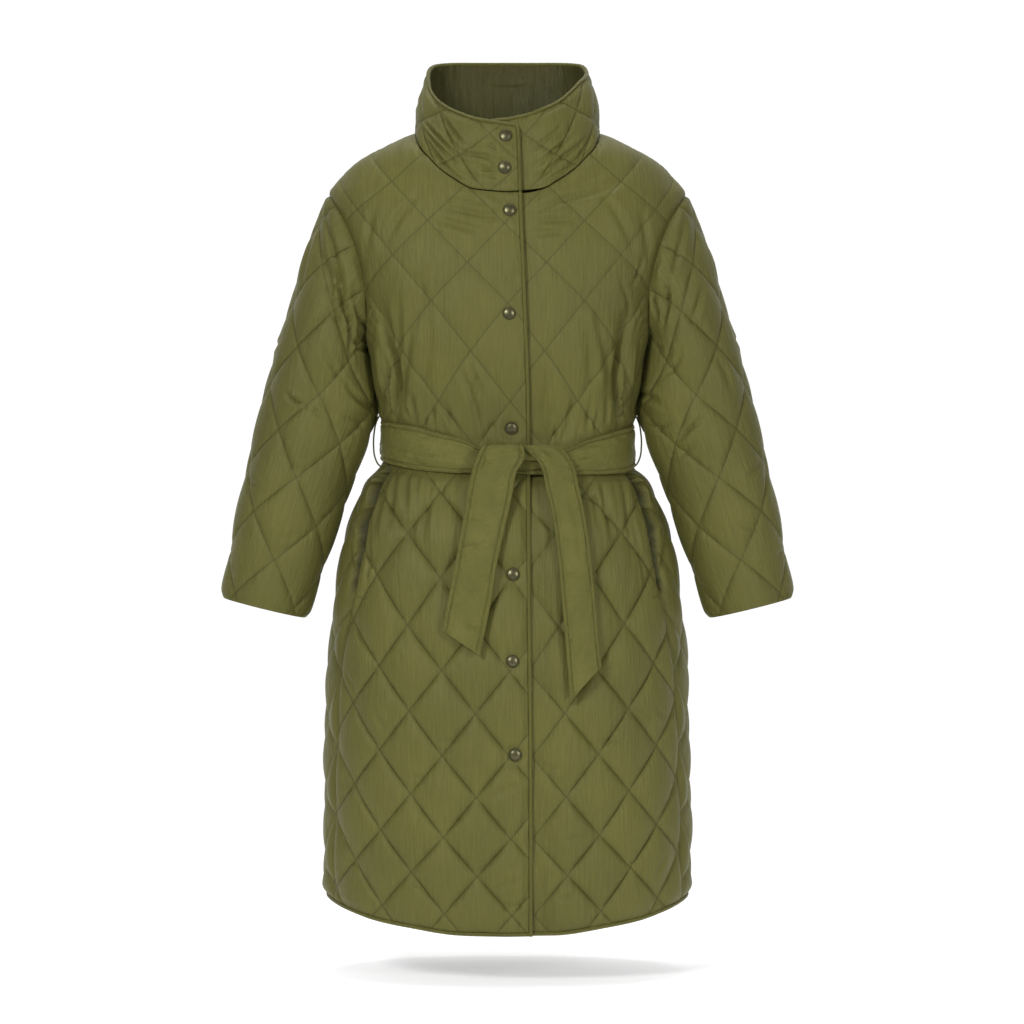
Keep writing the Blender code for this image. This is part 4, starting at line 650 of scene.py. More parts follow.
class Quilt:
    """A lattice of diamonds. Its crossings lie where column + row is even."""

    STEEP_REACH, BROAD_REACH, STEEP = 0.007, 0.030, 0.42
    PUCKER, PUCKER_LENGTH, PUCKER_REACH = 0.00060, 0.0050, 0.0065

    def __init__(self, width, height, origin=0.0, start=0.0, spread=None):
        self.half_width, self.half_height = width / 2, height / 2
        self.origin, self.start, self.spread = origin, start, spread or (lambda up: 1.0)

    def place(self, column, row):
        up = self.start + row * self.half_height
        return self.origin + column * self.half_width / self.spread(up), up

    def read(self, station, along):
        row = (along - self.start) / self.half_height
        return (station - self.origin) * self.spread(along) / self.half_width, row

    def size(self):
        return self.half_width, self.half_height

    def lines(self, station, along):
        """Both lattice numbers, and the width between two stitch lines."""
        column, row = self.read(station, along)
        half_width, half_height = self.size()
        across = 2 * half_width * half_height / math.hypot(half_width, half_height)
        return (row + column) / 2, (row - column) / 2, across

    def stitch_distance(self, station, along):
        p, q, across = self.lines(station, along)
        return np.minimum(np.abs(p - np.round(p)), np.abs(q - np.round(q))) * across

    def puff(self, station, along):
        """0 on a stitch line, about 1 on the middle of a diamond."""
        p, q, across = self.lines(station, along)
        lift = 0.92 + 0.16 * drift(np.floor(p) + 0.5, np.floor(q) + 0.5, 3)
        for line in (p, q):
            near = np.abs(line - np.round(line)) * across
            steep = 1 - (1 - np.minimum(near / self.STEEP_REACH, 1.0)) ** 2
            broad = 1 - (1 - np.minimum(near / self.BROAD_REACH, 1.0)) ** 2
            lift = lift * (self.STEEP * steep + (1 - self.STEEP) * broad)
        return lift

    def pucker(self, station, along):
        """Small ripples where each stitch line draws the cloth in."""
        p, q, across = self.lines(station, along)
        total = 0.0
        for line, run in ((p, q), (q, p)):
            near = np.abs(line - np.round(line)) * across
            ripple = drift(run * across / self.PUCKER_LENGTH, np.round(line) + near / 0.006, 11)
            total = total + ripple * np.exp(-near / self.PUCKER_REACH) * np.minimum(near / 0.0012, 1.0)
        return self.PUCKER * total


class BodyQuilt(Quilt):
    """The body's lattice: rows read from a table of heights, columns from the fronts' own origins."""

    def __init__(self, panel):
        self.panel = panel

    def origin_at(self, row):
        if self.panel == "back":
            return 0.0
        return QUILT_ROW.right(row) if self.panel == "right" else QUILT_ROW.left(row)

    def rise(self, row, along):
        return QUILT_ROW.rise(row) * (np.abs(along) / 0.24) ** 2.4

    def place(self, column, row):
        along = self.origin_at(row) + column * QUILT_ROW.pitch(row)
        return QUILT_ROW.z(row) + self.rise(row, along), along

    def read(self, z, along):
        row = ROW_AT(z)
        for _ in range(8):
            row = ROW_AT(z - self.rise(row, along))
        return (along - self.origin_at(row)) / QUILT_ROW.pitch(row), row

    def size(self):
        return BODY_DIAMOND


def sleeve_spread(along):
    """How wide the sleeve is at a height, against its nominal radius."""
    cuff, gain, reach = SLEEVE_SPREAD
    return cuff + gain * smooth(np.asarray(along) / reach)


COLLAR_REACH = COLLAR.half - COLLAR_CROSSING[0]
SLEEVE_LATTICE = Quilt(*SLEEVE_DIAMOND, math.pi / 2 * SLEEVE_RADIUS, SLEEVE_QUILT_START, sleeve_spread)
COLLAR_LATTICE = Quilt(2 * COLLAR_REACH / COLLAR_DIAMONDS, COLLAR_QUILT_HEIGHT, -COLLAR_REACH,
                       COLLAR_CROSSING[1])

# %% [markdown]
# ## Folds and creases
#
# Soft folds are what makes cloth look like cloth. Each one is a row of a table: how deep, how wide, and the
# points it runs through. A trough fades out at both ends, with a low ridge on each side where the cloth
# that it takes up has gone.

# %%
Crease = namedtuple("Crease", "depth width path")
CREASE_STRENGTH = 1.9       # how much deeper they are laid than their tables say


def creases(table):
    """Rows of depth and width, then the points that a crease runs through, all in millimetres."""
    rows = []
    for depth, width, *path in table:
        points = np.array(path, dtype=float).reshape(-1, 2)[:, ::-1] / 1000
        rows.append(Crease(CREASE_STRENGTH * depth / 1000, width / 1000, through(points, 4 * len(points))))
    return rows


def along_path(path, station, along):
    """The distance from each point to a path, and the share of the way along it."""
    nearest, share = np.full(len(station), 1e9), np.zeros(len(station))
    for i, (start, end) in enumerate(zip(path[:-1], path[1:])):
        edge = end - start
        t = np.clip(((station - start[0]) * edge[0] + (along - start[1]) * edge[1]) / (edge @ edge), 0, 1)
        away = np.hypot(station - start[0] - t * edge[0], along - start[1] - t * edge[1])
        share = np.where(away < nearest, (i + t) / (len(path) - 1), share)
        nearest = np.minimum(nearest, away)
    return nearest, share


def deep_fold(path, depth, width, station, along):
    """A deep fold that starts at once and fades towards its end."""
    nearest, share = along_path(path, station, along)
    return -depth * np.sin(np.pi * (0.05 + 0.87 * share)) * np.exp(-(nearest / width) ** 2 * 1.6)


def crease_push(creases, station, along):
    """The sum of many creases: a trough with two low ridges beside it, fading at both ends."""
    push = np.zeros(len(station))
    for crease in creases:
        path = crease.path
        low, high = path.min(axis=0) - 3 * crease.width, path.max(axis=0) + 3 * crease.width
        close = (station > low[0]) & (station < high[0]) & (along > low[1]) & (along < high[1])
        if not close.any():
            continue
        nearest, share = along_path(path, station[close], along[close])
        across = (nearest / crease.width) ** 2
        profile = np.exp(-across * 1.8) - 0.35 * np.exp(-(np.sqrt(across) - 1.6) ** 2 * 2.2)
        push[close] -= crease.depth * np.sin(np.pi * np.clip(share, 0.02, 0.98)) ** 0.7 * profile
    return push


RIGHT_CREASES = creases((    # wearer's right front: points are (along from centre front, height)
    (1.4, 6, -71, -77, -46, -83, -24, -90), (1.0, 4, -25, -75, -5, -87), (1.2, 4, -18, -76, 11, -86),
    (2.0, 6, -77, -94, -50, -97, -26, -102, -6, -101), (1.4, 6, -91, -104, -64, -112, -34, -120),
    (1.5, 6, -107, -70, -132, -101, -153, -137), (1.2, 6, -166, -88, -176, -124, -182, -157),
    (1.3, 8, -95, -159, -110, -204, -118, -251), (1.5, 6, -137, -202, -139, -265, -151, -325),
    (1.6, 6, -120, -241, -129, -283, -140, -337), (1.2, 9, -101, -205, -98, -260, -108, -320),
    (5.0, 5.5, -165, -232, -157, -259, -149, -278, -146, -301, -149, -325, -153, -352),
    (-3.0, 9, -180, -250, -176, -294, -178, -330), (2.0, 4, -171, -290, -163, -318, -164, -345),
    (2.2, 5, -58, -289, -44, -319, -36, -351, -33, -375), (1.6, 4, -46, -285, -34, -308, -29, -331),
    (1.5, 4, -93, -333, -92, -358), (2.0, 5, -125, -314, -114, -356), (1.5, 4, -100, -344, -107, -357),
    (1.6, 4, -135, -311, -131, -337, -117, -354), (1.8, 4, -77, -328, -69, -350, -56, -371),
    (1.2, 3, -62, -362, -57, -371), (1.3, 4, -20, -350, -14, -380), (1.2, 3, -81, -346, -79, -366),
    (1.6, 2.6, -193, -208, -181, -217, -195, -230), (1.8, 2.6, -205, -236, -190, -246, -175, -256),
    (1.4, 2.4, -188, -222, -175, -229, -162, -227), (1.2, 2.4, -199, -222, -186, -234, -178, -246),
    (2.2, 5, -121, -407, -125, -427, -126, -458), (2.0, 5, -142, -409, -146, -446, -150, -483),
    (1.6, 5, -95, -412, -98, -446, -104, -501), (2.0, 5, -168, -409, -166, -446, -170, -489),
    (1.5, 4, -77, -413, -83, -446), (1.2, 4, -58, -415, -64, -437), (1.3, 4, -110, -412, -112, -436),
    (1.4, 4, -155, -408, -158, -436), (1.1, 3, -40, -417, -43, -436),
    (1.5, 4, -91, -738, -77, -736, -62, -736), (1.3, 4, -123, -779, -103, -780),
    (1.2, 5, -20, -805, 3, -791, 22, -787), (0.9, 3, -40, -698, -33, -697), (1.0, 4, -56, -768, -40, -761),
    (1.3, 5, 23, -900, 0, -906, -20, -917), (1.1, 4, -9, -934, 23, -931), (0.9, 3, 11, -945, 24, -945),
    (0.8, 3, -101, -667, -93, -665), (0.8, 3, -64, -830, -54, -829), (0.8, 3, -154, -821, -144, -823),
    (1.2, 3, -179, -443, -177, -495, -183, -549, -184, -568), (1.2, 4, -200, -600, -185, -625),
    (1.0, 4, -214, -655, -198, -680), (1.1, 5, -170, -700, -150, -725), (1.0, 4, -222, -790, -205, -800),
    (1.1, 4, -215, -880, -196, -892), (0.9, 4, -120, -900, -104, -914),
))
LEFT_CREASES = creases((     # wearer's left front, in the same way
    (2.0, 6, 24, -97, 43, -92, 72, -81, 106, -72, 141, -58),
    (1.6, 5, 26, -107, 47, -108, 73, -107, 84, -103), (1.4, 5, 28, -122, 51, -123, 71, -120),
    (1.0, 3, 18, -84, 28, -73), (1.3, 6, 114, -70, 137, -101, 156, -137),
    (1.2, 6, 166, -88, 175, -124, 181, -157), (1.5, 7, 109, -212, 118, -257, 127, -292),
    (1.6, 3, 141, -179, 155, -211, 159, -228), (1.6, 3, 158, -187, 169, -165, 172, -150),
    (1.8, 2.6, 190, -214, 176, -222, 170, -240), (1.6, 2.6, 203, -238, 188, -247, 178, -262),
    (1.3, 2.4, 196, -226, 182, -232), (5.0, 5.5, 154, -234, 150, -267, 146, -290, 147, -319, 156, -355),
    (-3.0, 9, 173, -254, 170, -300, 182, -332), (1.8, 4, 166, -296, 160, -322, 168, -348),
    (2.0, 5, 43, -287, 39, -349, 38, -378), (1.7, 4, 51, -320, 46, -362, 44, -381),
    (2.0, 5, 84, -321, 75, -356, 65, -381), (1.6, 4, 104, -326, 98, -364), (1.8, 4, 128, -321, 125, -355),
    (1.2, 8, 95, -230, 103, -278, 101, -326), (1.3, 7, 125, -241, 130, -280, 128, -323),
    (1.2, 3, 62, -352, 55, -378), (1.3, 4, 114, -338, 111, -362), (2.2, 5, 117, -419, 124, -458, 130, -495),
    (1.8, 4, 84, -419, 92, -440, 116, -446), (2.0, 5, 146, -415, 152, -458, 159, -501),
    (1.5, 4, 101, -422, 108, -452, 111, -483), (1.4, 4, 166, -412, 170, -446, 178, -470),
    (1.3, 4, 70, -420, 74, -448), (1.6, 4, 44, -772, 55, -768, 67, -767),
    (1.2, 4, 64, -858, 79, -852, 101, -855), (1.2, 4, 114, -738, 130, -734, 147, -738),
    (1.2, 3, 156, -446, 166, -501, 179, -555), (1.0, 4, 120, -640, 136, -652),
    (1.0, 4, 166, -805, 182, -815), (1.1, 4, 60, -925, 84, -920), (1.0, 4, 190, -700, 208, -712),
    (1.0, 4, 205, -880, 190, -900), (0.9, 4, 150, -880, 163, -890),
))
BACK_CREASES = creases((     # points are (along from centre back, height)
    (1.6, 6, -95, -40, -40, -62, 30, -66, 92, -44), (1.2, 6, -60, -82, 0, -96, 58, -88),
    (1.5, 7, -150, -130, -128, -190, -118, -260), (1.5, 7, 152, -126, 132, -180, 120, -252),
    (1.4, 7, -60, -210, -52, -270, -56, -330), (1.4, 8, 62, -196, 50, -268, 60, -330),
    (4.0, 6, -172, -236, -160, -280, -158, -338), (4.0, 6, 170, -232, 161, -276, 155, -338),
    (-2.2, 9, -188, -260, -180, -310), (-2.2, 9, 186, -258, 178, -312), (2.0, 5, -128, -290, -120, -346),
    (1.7, 4, -100, -310, -98, -346), (2.0, 5, -70, -296, -74, -344), (1.6, 4, -40, -312, -44, -342),
    (1.8, 5, -12, -300, -10, -342), (1.6, 4, 18, -310, 22, -340), (1.9, 5, 50, -298, 46, -342),
    (1.6, 4, 84, -306, 80, -344), (1.9, 5, 112, -292, 104, -344), (1.5, 4, 136, -300, 132, -346),
    (2.0, 5, -150, -398, -158, -460), (1.7, 4, -122, -400, -126, -446), (2.0, 5, -92, -398, -98, -470),
    (1.5, 4, -62, -400, -64, -440), (1.8, 5, -30, -398, -28, -462), (1.5, 4, 6, -400, 8, -440),
    (1.9, 5, 38, -398, 44, -466), (1.5, 4, 70, -400, 76, -446), (2.0, 5, 104, -398, 112, -468),
    (1.6, 4, 134, -400, 144, -450), (1.7, 4, 162, -400, 172, -446),
    (1.8, 2.8, -208, -236, -192, -250, -182, -266), (1.8, 2.8, 206, -234, 194, -248, 180, -262),
    (1.3, 5, -120, -620, -96, -612), (1.2, 4, 66, -700, 92, -708), (1.3, 5, -40, -760, -12, -752),
    (1.1, 4, 130, -780, 148, -792), (1.2, 5, -160, -840, -140, -858), (1.1, 4, 20, -880, 44, -872),
    (1.0, 4, 96, -930, 120, -924), (1.1, 4, -70, -930, -44, -938), (1.0, 4, 176, -620, 190, -640),
))
SLEEVE_RIGHT_CREASES = creases((     # points are (length up from the cuff, length round the sleeve)
    (1.5, 5, 379, 93, 369, 107, 362, 121), (3.6, 5, 436, 86, 391, 112, 365, 134, 328, 145),
    (2.6, 3.4, 264, 62, 258, 73, 256, 81, 254, 91), (1.8, 3.4, 255, 97, 248, 109, 248, 115),
    (2.2, 5, 296, 137, 283, 149, 275, 169, 277, 200), (1.6, 5, 252, 135, 253, 151, 248, 175),
    (1.4, 5, 92, 105, 95, 126), (2.0, 4, 495, 29, 449, 71, 402, 104), (1.5, 5, 439, 57, 417, 81, 388, 99),
    (2.4, 4, 389, 127, 377, 147, 371, 184), (2.0, 4, 358, 132, 346, 155, 346, 200),
    (1.5, 6, 470, 20, 430, 32, 395, 40), (1.6, 5, 330, 100, 310, 118, 300, 132),
    (1.2, 5, 180, 90, 170, 118), (2.2, 5, 300, -180, 292, -150, 300, -120),
    (1.8, 5, 258, -185, 250, -150, 256, -118), (1.6, 5, 222, -170, 218, -140),
    (2.0, 5, 372, -170, 352, -140, 332, -120), (2.4, 5, 420, -90, 384, -112, 350, -130),
    (1.6, 6, 470, -30, 430, -40, 392, -60), (1.3, 5, 330, -30, 318, 0, 326, 30),
    (1.3, 5, 240, -60, 232, -30, 240, 0), (1.2, 5, 120, -100, 110, -70), (1.2, 5, 62, -40, 56, -10),
    (1.2, 5, 150, 30, 142, 60),
))
SLEEVE_LEFT_CREASES = creases((      # the same, seen as if it were a right sleeve
    (2.6, 4, 243, 98, 234, 118, 224, 139), (2.6, 4, 416, 126, 398, 135, 376, 141),
    (3.0, 4, 431, 102, 393, 117, 360, 139), (2.0, 3.4, 372, 168, 348, 160, 336, 145),
    (2.0, 4, 490, 43, 461, 65, 444, 78, 427, 93, 400, 110), (2.2, 5, 294, 200, 283, 167, 269, 146),
    (1.7, 4, 250, 181, 243, 159, 244, 140), (1.6, 6, 311, 70, 290, 62, 267, 60),
    (1.3, 5, 111, 99, 99, 83, 97, 69), (1.6, 5, 400, 60, 372, 82, 350, 98),
    (1.5, 5, 330, 112, 312, 130, 306, 150), (1.4, 5, 212, 120, 204, 148),
    (1.5, 6, 468, 4, 434, 16, 398, 20), (1.2, 5, 170, 36, 160, 66), (1.2, 5, 60, 20, 54, 48),
    (2.2, 5, 306, -184, 296, -150, 306, -116), (1.8, 5, 262, -180, 252, -148, 262, -112),
    (1.6, 5, 226, -176, 220, -138), (2.0, 5, 376, -174, 350, -144, 336, -118),
    (2.4, 5, 424, -94, 380, -116, 346, -134), (1.4, 6, 466, -34, 426, -48, 390, -66),
    (1.3, 5, 338, -36, 322, -4, 332, 26), (1.2, 5, 130, -96, 116, -64),
))
COLLAR_CREASES = creases((   # points are (height over the seam, length from centre back)
    (1.6, 4, 67, -255, 59, -274, 50, -289), (1.8, 4, 39, -209, 38, -254, 30, -286),
    (1.5, 4, 30, -212, 28, -248, 23, -278), (2.0, 4, 39, -286, 42, -309, 38, -331),
    (1.6, 3.4, 26, -310, 25, -334), (1.3, 3, 18, -320, 17, -334),
    (1.5, 4, 22, -221, 14, -248, 7, -269, 6, -297), (1.5, 4, 21, 220, 11, 243, 8, 271, 8, 297, 6, 316),
    (1.8, 4, 14, 309, 25, 275, 25, 227), (1.6, 4, 27, 316, 40, 286, 43, 247),
    (1.5, 4, 48, 315, 59, 296, 64, 274), (1.4, 4, 58, -318, 50, -334),
    (1.5, 5, 20, -150, 14, -100, 18, -50), (1.4, 5, 40, -170, 34, -120, 40, -70),
    (1.5, 5, 24, 20, 16, 70, 22, 130), (1.4, 5, 44, 50, 38, 100, 44, 150), (1.4, 4, 66, -40, 60, 0, 66, 40),
    (1.2, 4, 82, -120, 76, -84), (1.2, 4, 84, 70, 78, 110),
))
BELT_CREASES = creases((     # points are (along from centre front, height)
    (1.1, 3, -174, -380, -148, -382, -110, -391, -76, -391, -45, -398),
    (1.0, 3, -151, -390, -116, -400, -80, -404, -49, -403), (0.8, 2.4, -127, -386, -114, -397),
    (1.0, 3, 56, -391, 75, -383, 136, -379), (1.0, 3, 60, -400, 90, -396, 120, -385),
    (0.9, 3, 62, -405, 90, -403, 145, -392), (0.8, 3, -190, -376, -176, -370),
    (0.8, 3, 180, -378, 160, -372, 140, -370), (0.7, 3, -100, -380, -70, -384),
    (0.8, 3, -250, -366, -210, -372), (0.8, 3, 210, -372, 260, -366), (0.7, 3, -330, -372, -290, -368),
    (0.7, 3, 300, -372, 340, -366), (0.7, 3, -400, -366, -370, -370), (0.7, 3, 372, -364, 404, -370),
))
TAIL_RIGHT_CREASES = creases((       # points are (x, height)
    (0.9, 2.6, -59, -502, -41, -500, -22, -498), (0.8, 2.6, -49, -600, -40, -599, -32, -599),
    (1.2, 2.6, -25, -386, -29, -398, -34, -413), (0.9, 2.6, -18, -384, -21, -400, -24, -420),
    (1.0, 2.6, 8, -383, 16, -389, 19, -398), (0.8, 4, -4, -392, -12, -430, -20, -470),
    (0.7, 4, -36, -450, -42, -480), (0.7, 3, -52, -552, -40, -556, -30, -553),
    (0.7, 5, -44, -530, -52, -575),
))
TAIL_LEFT_CREASES = creases((
    (1.1, 2.6, 22, -382, 32, -388, 39, -396), (1.1, 2.6, 36, -383, 52, -393, 58, -404),
    (0.8, 4, 60, -424, 66, -455, 66, -486), (0.8, 2.6, 69, -615, 80, -615), (0.8, 4, 44, -402, 52, -430),
    (0.7, 3, 66, -540, 78, -536, 90, -538), (0.7, 4, 84, -470, 88, -520), (0.7, 5, 76, -570, 80, -610),
))

DeepFold = namedtuple("DeepFold", "side depth width path")
DEEP_FOLDS = (               # deep folds over the belt, as points of (x, z)
    DeepFold(-1, 0.0110, 0.0120,
             ((0.1560, -0.212), (0.1500, -0.236), (0.1430, -0.268), (0.1340, -0.300), (0.1345, -0.342))),
    DeepFold(1, 0.0110, 0.0120,
             ((0.1500, -0.212), (0.1440, -0.236), (0.1390, -0.268), (0.1330, -0.300), (0.1380, -0.346))),
)


def deep_push(z, along, side):
    push = np.zeros(len(z))
    for fold in DEEP_FOLDS:
        if fold.side == side:
            x, height = np.array(fold.path).T
            path = through(np.column_stack([height, BODY.along(x * fold.side, height)]), 9)
            push += deep_fold(path, fold.depth, fold.width, z, along)
    return push


# %% [markdown]
# ## What presses on the cloth
#
# The belt and the snap caps flatten the padding under them, the lapped front lies lower than the front over
# it, and the pocket's mouth stands open a little.


# %%
def belt_share(z, along):
    """0 under the belt, 1 clear of it."""
    clear = np.maximum(z - BELT_EDGE.top(along), BELT_EDGE.bottom(along) - z)
    return smooth((clear - BELT_CLEAR) / BELT_PRESS)


def snap_share(x, z, on_collar):
    """0 under a snap cap, 1 clear of it."""
    share = np.ones_like(z)
    for snap in SNAPS:
        if snap.on_collar == on_collar:
            share = share * smooth((np.hypot(x - snap.x, z - snap.z) - SNAP_RADIUS) / SNAP_PRESS)
    return share


def pocket_gape(z, from_seam):
    """How far a front's edge stands off the back at the pocket's mouth."""
    return POCKET_GAPE * pocket_share(z) * np.maximum(0.0, 1 - from_seam / POCKET_WIDTH) ** 2


def right_shape(z, along):
    share = belt_share(z, along) * snap_share(along, z, False)
    gape = pocket_gape(z, along + side_seam(z))
    return share, SETTLE + deep_push(z, along, -1) + gape + side_roll(z, along)


def left_shape(z, along):
    lap = smooth((along - EDGE.edge(z) - LAP_CLEAR) / LAP_EASE)
    share = belt_share(z, along) * (LAP_PUFF + (1 - LAP_PUFF) * lap)
    gape = pocket_gape(z, side_seam(z) - along)
    return share, SETTLE - LAP_SINK * (1 - lap) + deep_push(z, along, 1) + gape + side_roll(z, along)


def back_shape(z, along):
    from_front = along - np.copysign(BODY.length(z), along)
    sink = POCKET_HOLLOW * pocket_sink(z, from_front)
    return belt_share(z, from_front), SETTLE - sink + side_roll(z, from_front)


def sleeve_shape(station, along):
    from_seam = SLEEVE_TUBE.length(station) - along
    settled = smooth(from_seam / SLEEVE_SETTLE)
    turn = np.degrees(station / SLEEVE_RADIUS)
    head = SLEEVE_HEAD * np.exp(-((from_seam - 0.014) / 0.013) ** 2) * hang_clear(turn)
    lean = UNDERARM_PRESS * smooth(from_seam / 0.006) * smooth((0.130 - from_seam) / 0.050) * underarm(turn)
    return np.ones_like(along), SETTLE * settled + head + lean


def collar_shape(station, along):
    settled = smooth(along / COLLAR_SETTLE)
    from_front = COLLAR.half - np.abs(station)
    x = np.where(station < 0, -from_front, from_front)
    under = np.where(station > 0, 1 - smooth((from_front - COLLAR_UNDER) / LAP_EASE), 0.0)
    z = COLLAR.point(station, along)[:, 2]
    share = np.where(station < 0, snap_share(x, z, True), 1.0) * (1 - (1 - LAP_PUFF) * under)
    return share, SETTLE * settled - LAP_SINK * under


# %% [markdown]
# ## Pattern pieces
#
# An outline is the pattern piece's edge, drawn in the form's own two numbers.


# %%
def left_edge(z):
    return EDGE.edge(z) - LAP_WIDTH


def neck_turn(x):
    """Degrees round the neck at a small distance from centre front."""
    turns = np.linspace(0.0, 12.0, 49)
    return float(np.interp(abs(x), np.abs(neck_seam(turns)[1]), turns)) * math.copysign(1, x)


def neck_part(start, end, count):
    z, along = neck_seam(np.linspace(start, end, count))
    return list(zip(z, along))


def shoulder_part(side, over):
    """over is 1 on a front, -1 on the back: both go just past the seam, so that no light comes through."""
    z = np.linspace(NECK.z(90), SLEEVE[0].outer_z, 30)[:-1]
    less = SEAM_GAP / 2 * (np.hypot(1.0, np.gradient(BODY.side(z), z)) + 0.5)
    return list(zip(z, side * (BODY.side(z) + over * less)))


def armhole_part(first, last, side):
    z, along = armhole_seam(np.linspace(first, last, 61))
    return list(zip(z, -side * along))


def side_part(side):
    z = np.linspace(SLEEVE[0].inner_z, hem_height(0.31) + BINDING, 90)[1:-1]
    return list(zip(z, side * (side_seam(z) - pocket_gap(z))))


def hem_part(start, end, count):
    along = np.linspace(start, end, count)
    return list(zip(hem_height(along) + MARGIN, along))


def front_outline(side, edge):
    """side is -1 for the wearer's right; edge(z) is the front edge, as a distance from centre front."""
    low = float(hem_height(edge(HEM_FRONT))) + MARGIN
    z = np.linspace(low, NECK.z(neck_turn(edge(NECK_FRONT))), 60)[:-1]
    points = list(zip(z, edge(z)))
    points += neck_part(neck_turn(float(edge(NECK_FRONT))), side * 90, 40)[:-1]
    points += [(NECK.z(90), side * BODY.side(NECK.z(90)))]
    points += shoulder_part(side, 1) + armhole_part(0, 180, side) + side_part(side)
    points += hem_part(side * side_seam(HEM_SIDE), float(edge(HEM_FRONT)), 40)[:-1]
    return np.array(points, dtype=float)


def back_outline():
    """Heights and distances from centre back, plus to the wearer's right."""
    def from_back(points):
        return [(z, BODY.length(z) - abs(along)) for z, along in points]

    def under(z):
        return UNDERLAP * smooth(pocket_gap(z) / 0.003)

    half = from_back(neck_part(-180, -90, 30)) + from_back(shoulder_part(-1, -1))
    half += from_back(armhole_part(0, -180, -1))
    half += [(z, BODY.length(z) - side_seam(z) + under(z)) for z, _ in side_part(-1)]
    along = np.linspace(float(BODY.length(HEM_SIDE) - side_seam(HEM_SIDE)), 0.0, 40)
    half += list(zip(hem_height(BODY.length(HEM_LEVEL) - along) + MARGIN, along))
    return np.array(half + [(z, -along) for z, along in reversed(half[1:-1])], dtype=float)


def sleeve_outline():
    low, high = [math.radians(SLEEVE_SEAM_TURN + half) * SLEEVE_RADIUS for half in (-180, 180)]
    around = np.linspace(low, high, 90)
    top = list(zip(around, SLEEVE_TUBE.length(around)))
    side = [(high, SLEEVE_TUBE.length(high) * share) for share in np.linspace(1, 0, 22)[1:-1]]
    cuff = [(station, 0.0) for station in np.linspace(high, low, 40)]
    other = [(low, SLEEVE_TUBE.length(low) * share) for share in np.linspace(0, 1, 22)[1:-1]]
    return np.array(top + side + cuff + other, dtype=float)


def collar_edge_line(margin):
    """The collar's free edge, moved in by a margin: up its right end, round the top, down its left end."""
    right, left = -(COLLAR.half + COLLAR_ENDS[0]) + margin, COLLAR.half + COLLAR_ENDS[1] - margin
    corner = COLLAR_CORNER - margin
    points = []
    for station, turn in ((right, 1), (left, -1)):
        top = COLLAR.length(station) - margin
        up = [(station, BASE_GAP + top * share) for share in np.linspace(0, 1, 12)[:-1]]
        up[-1] = (station, top - corner)
        bend = []
        for degrees in range(10, 91, 10):
            radians = math.radians(degrees)
            bend.append((station + turn * corner * (1 - math.cos(radians)),
                         top - corner + corner * math.sin(radians)))
        points.append(up + bend)
    across = np.linspace(points[0][-1][0], points[1][-1][0], 120)[1:-1]
    return points[0] + [(s, COLLAR.length(s) - margin) for s in across] + points[1][::-1]


def collar_outline():
    edge = collar_edge_line(MARGIN)
    base = [(station, BASE_GAP) for station in np.linspace(edge[-1][0], edge[0][0], 90)[1:-1]]
    return np.array(edge + base, dtype=float)


# %% [markdown]
# ## Cutting the cloth
#
# The yardage is a `create_grid` with a row of vertices on every stitch line, closer together beside the
# lines than between them. To cut it, each vertex is moved to (distance inside the outline, station, along):
# there the whole curved outline is one flat plane, and a single `bisect_plane` follows it exactly.

# %%
FINENESS = 1.0
CROWD = 0.12                # how much closer the rows are beside a stitch line


def inside_distance(outline, points):
    """How far each point is inside a closed outline; minus is outside."""
    nearest = np.full(len(points), 1e9)
    inside = np.zeros(len(points), dtype=bool)
    for a, b in zip(outline, np.roll(outline, -1, axis=0)):
        edge = b - a
        share = np.clip(((points - a) @ edge) / max(edge @ edge, 1e-12), 0.0, 1.0)
        nearest = np.minimum(nearest, ((points - a - share[:, None] * edge) ** 2).sum(axis=1))
        if a[1] != b[1]:
            crosses = (a[1] > points[:, 1]) != (b[1] > points[:, 1])
            at = a[0] + (points[:, 1] - a[1]) * edge[0] / edge[1]
            inside ^= crosses & (points[:, 0] < at)
    return np.sqrt(nearest) * np.where(inside, 1, -1)


def vertex_array(shape):
    return np.array([vertex.co for vertex in shape.verts])


def move_vertices(shape, points):
    for vertex, point in zip(shape.verts, points.tolist()):
        vertex.co = point


def yardage(quilt, outline, steps):
    """A flat grid in (station, along) that covers an outline, with rows on every stitch line."""
    p, q, _ = quilt.lines(outline[:, 0], outline[:, 1])
    part = np.arange(steps) / steps
    part = part - CROWD * np.sin(2 * math.pi * part) / (2 * math.pi)
    rows = [(np.arange(math.floor(line.min()) - 1, math.ceil(line.max()) + 1)[:, None] + part).ravel()
            for line in (p, q)]
    shape = bmesh.new()
    bmesh.ops.create_grid(shape, x_segments=len(rows[0]) - 1, y_segments=len(rows[1]) - 1, size=0.5)
    share = vertex_array(shape) + 0.5
    p, q = [np.interp(share[:, k] * (len(rows[k]) - 1), np.arange(len(rows[k])), rows[k]) for k in (0, 1)]
    return shape, np.column_stack(quilt.place(p - q, p + q))


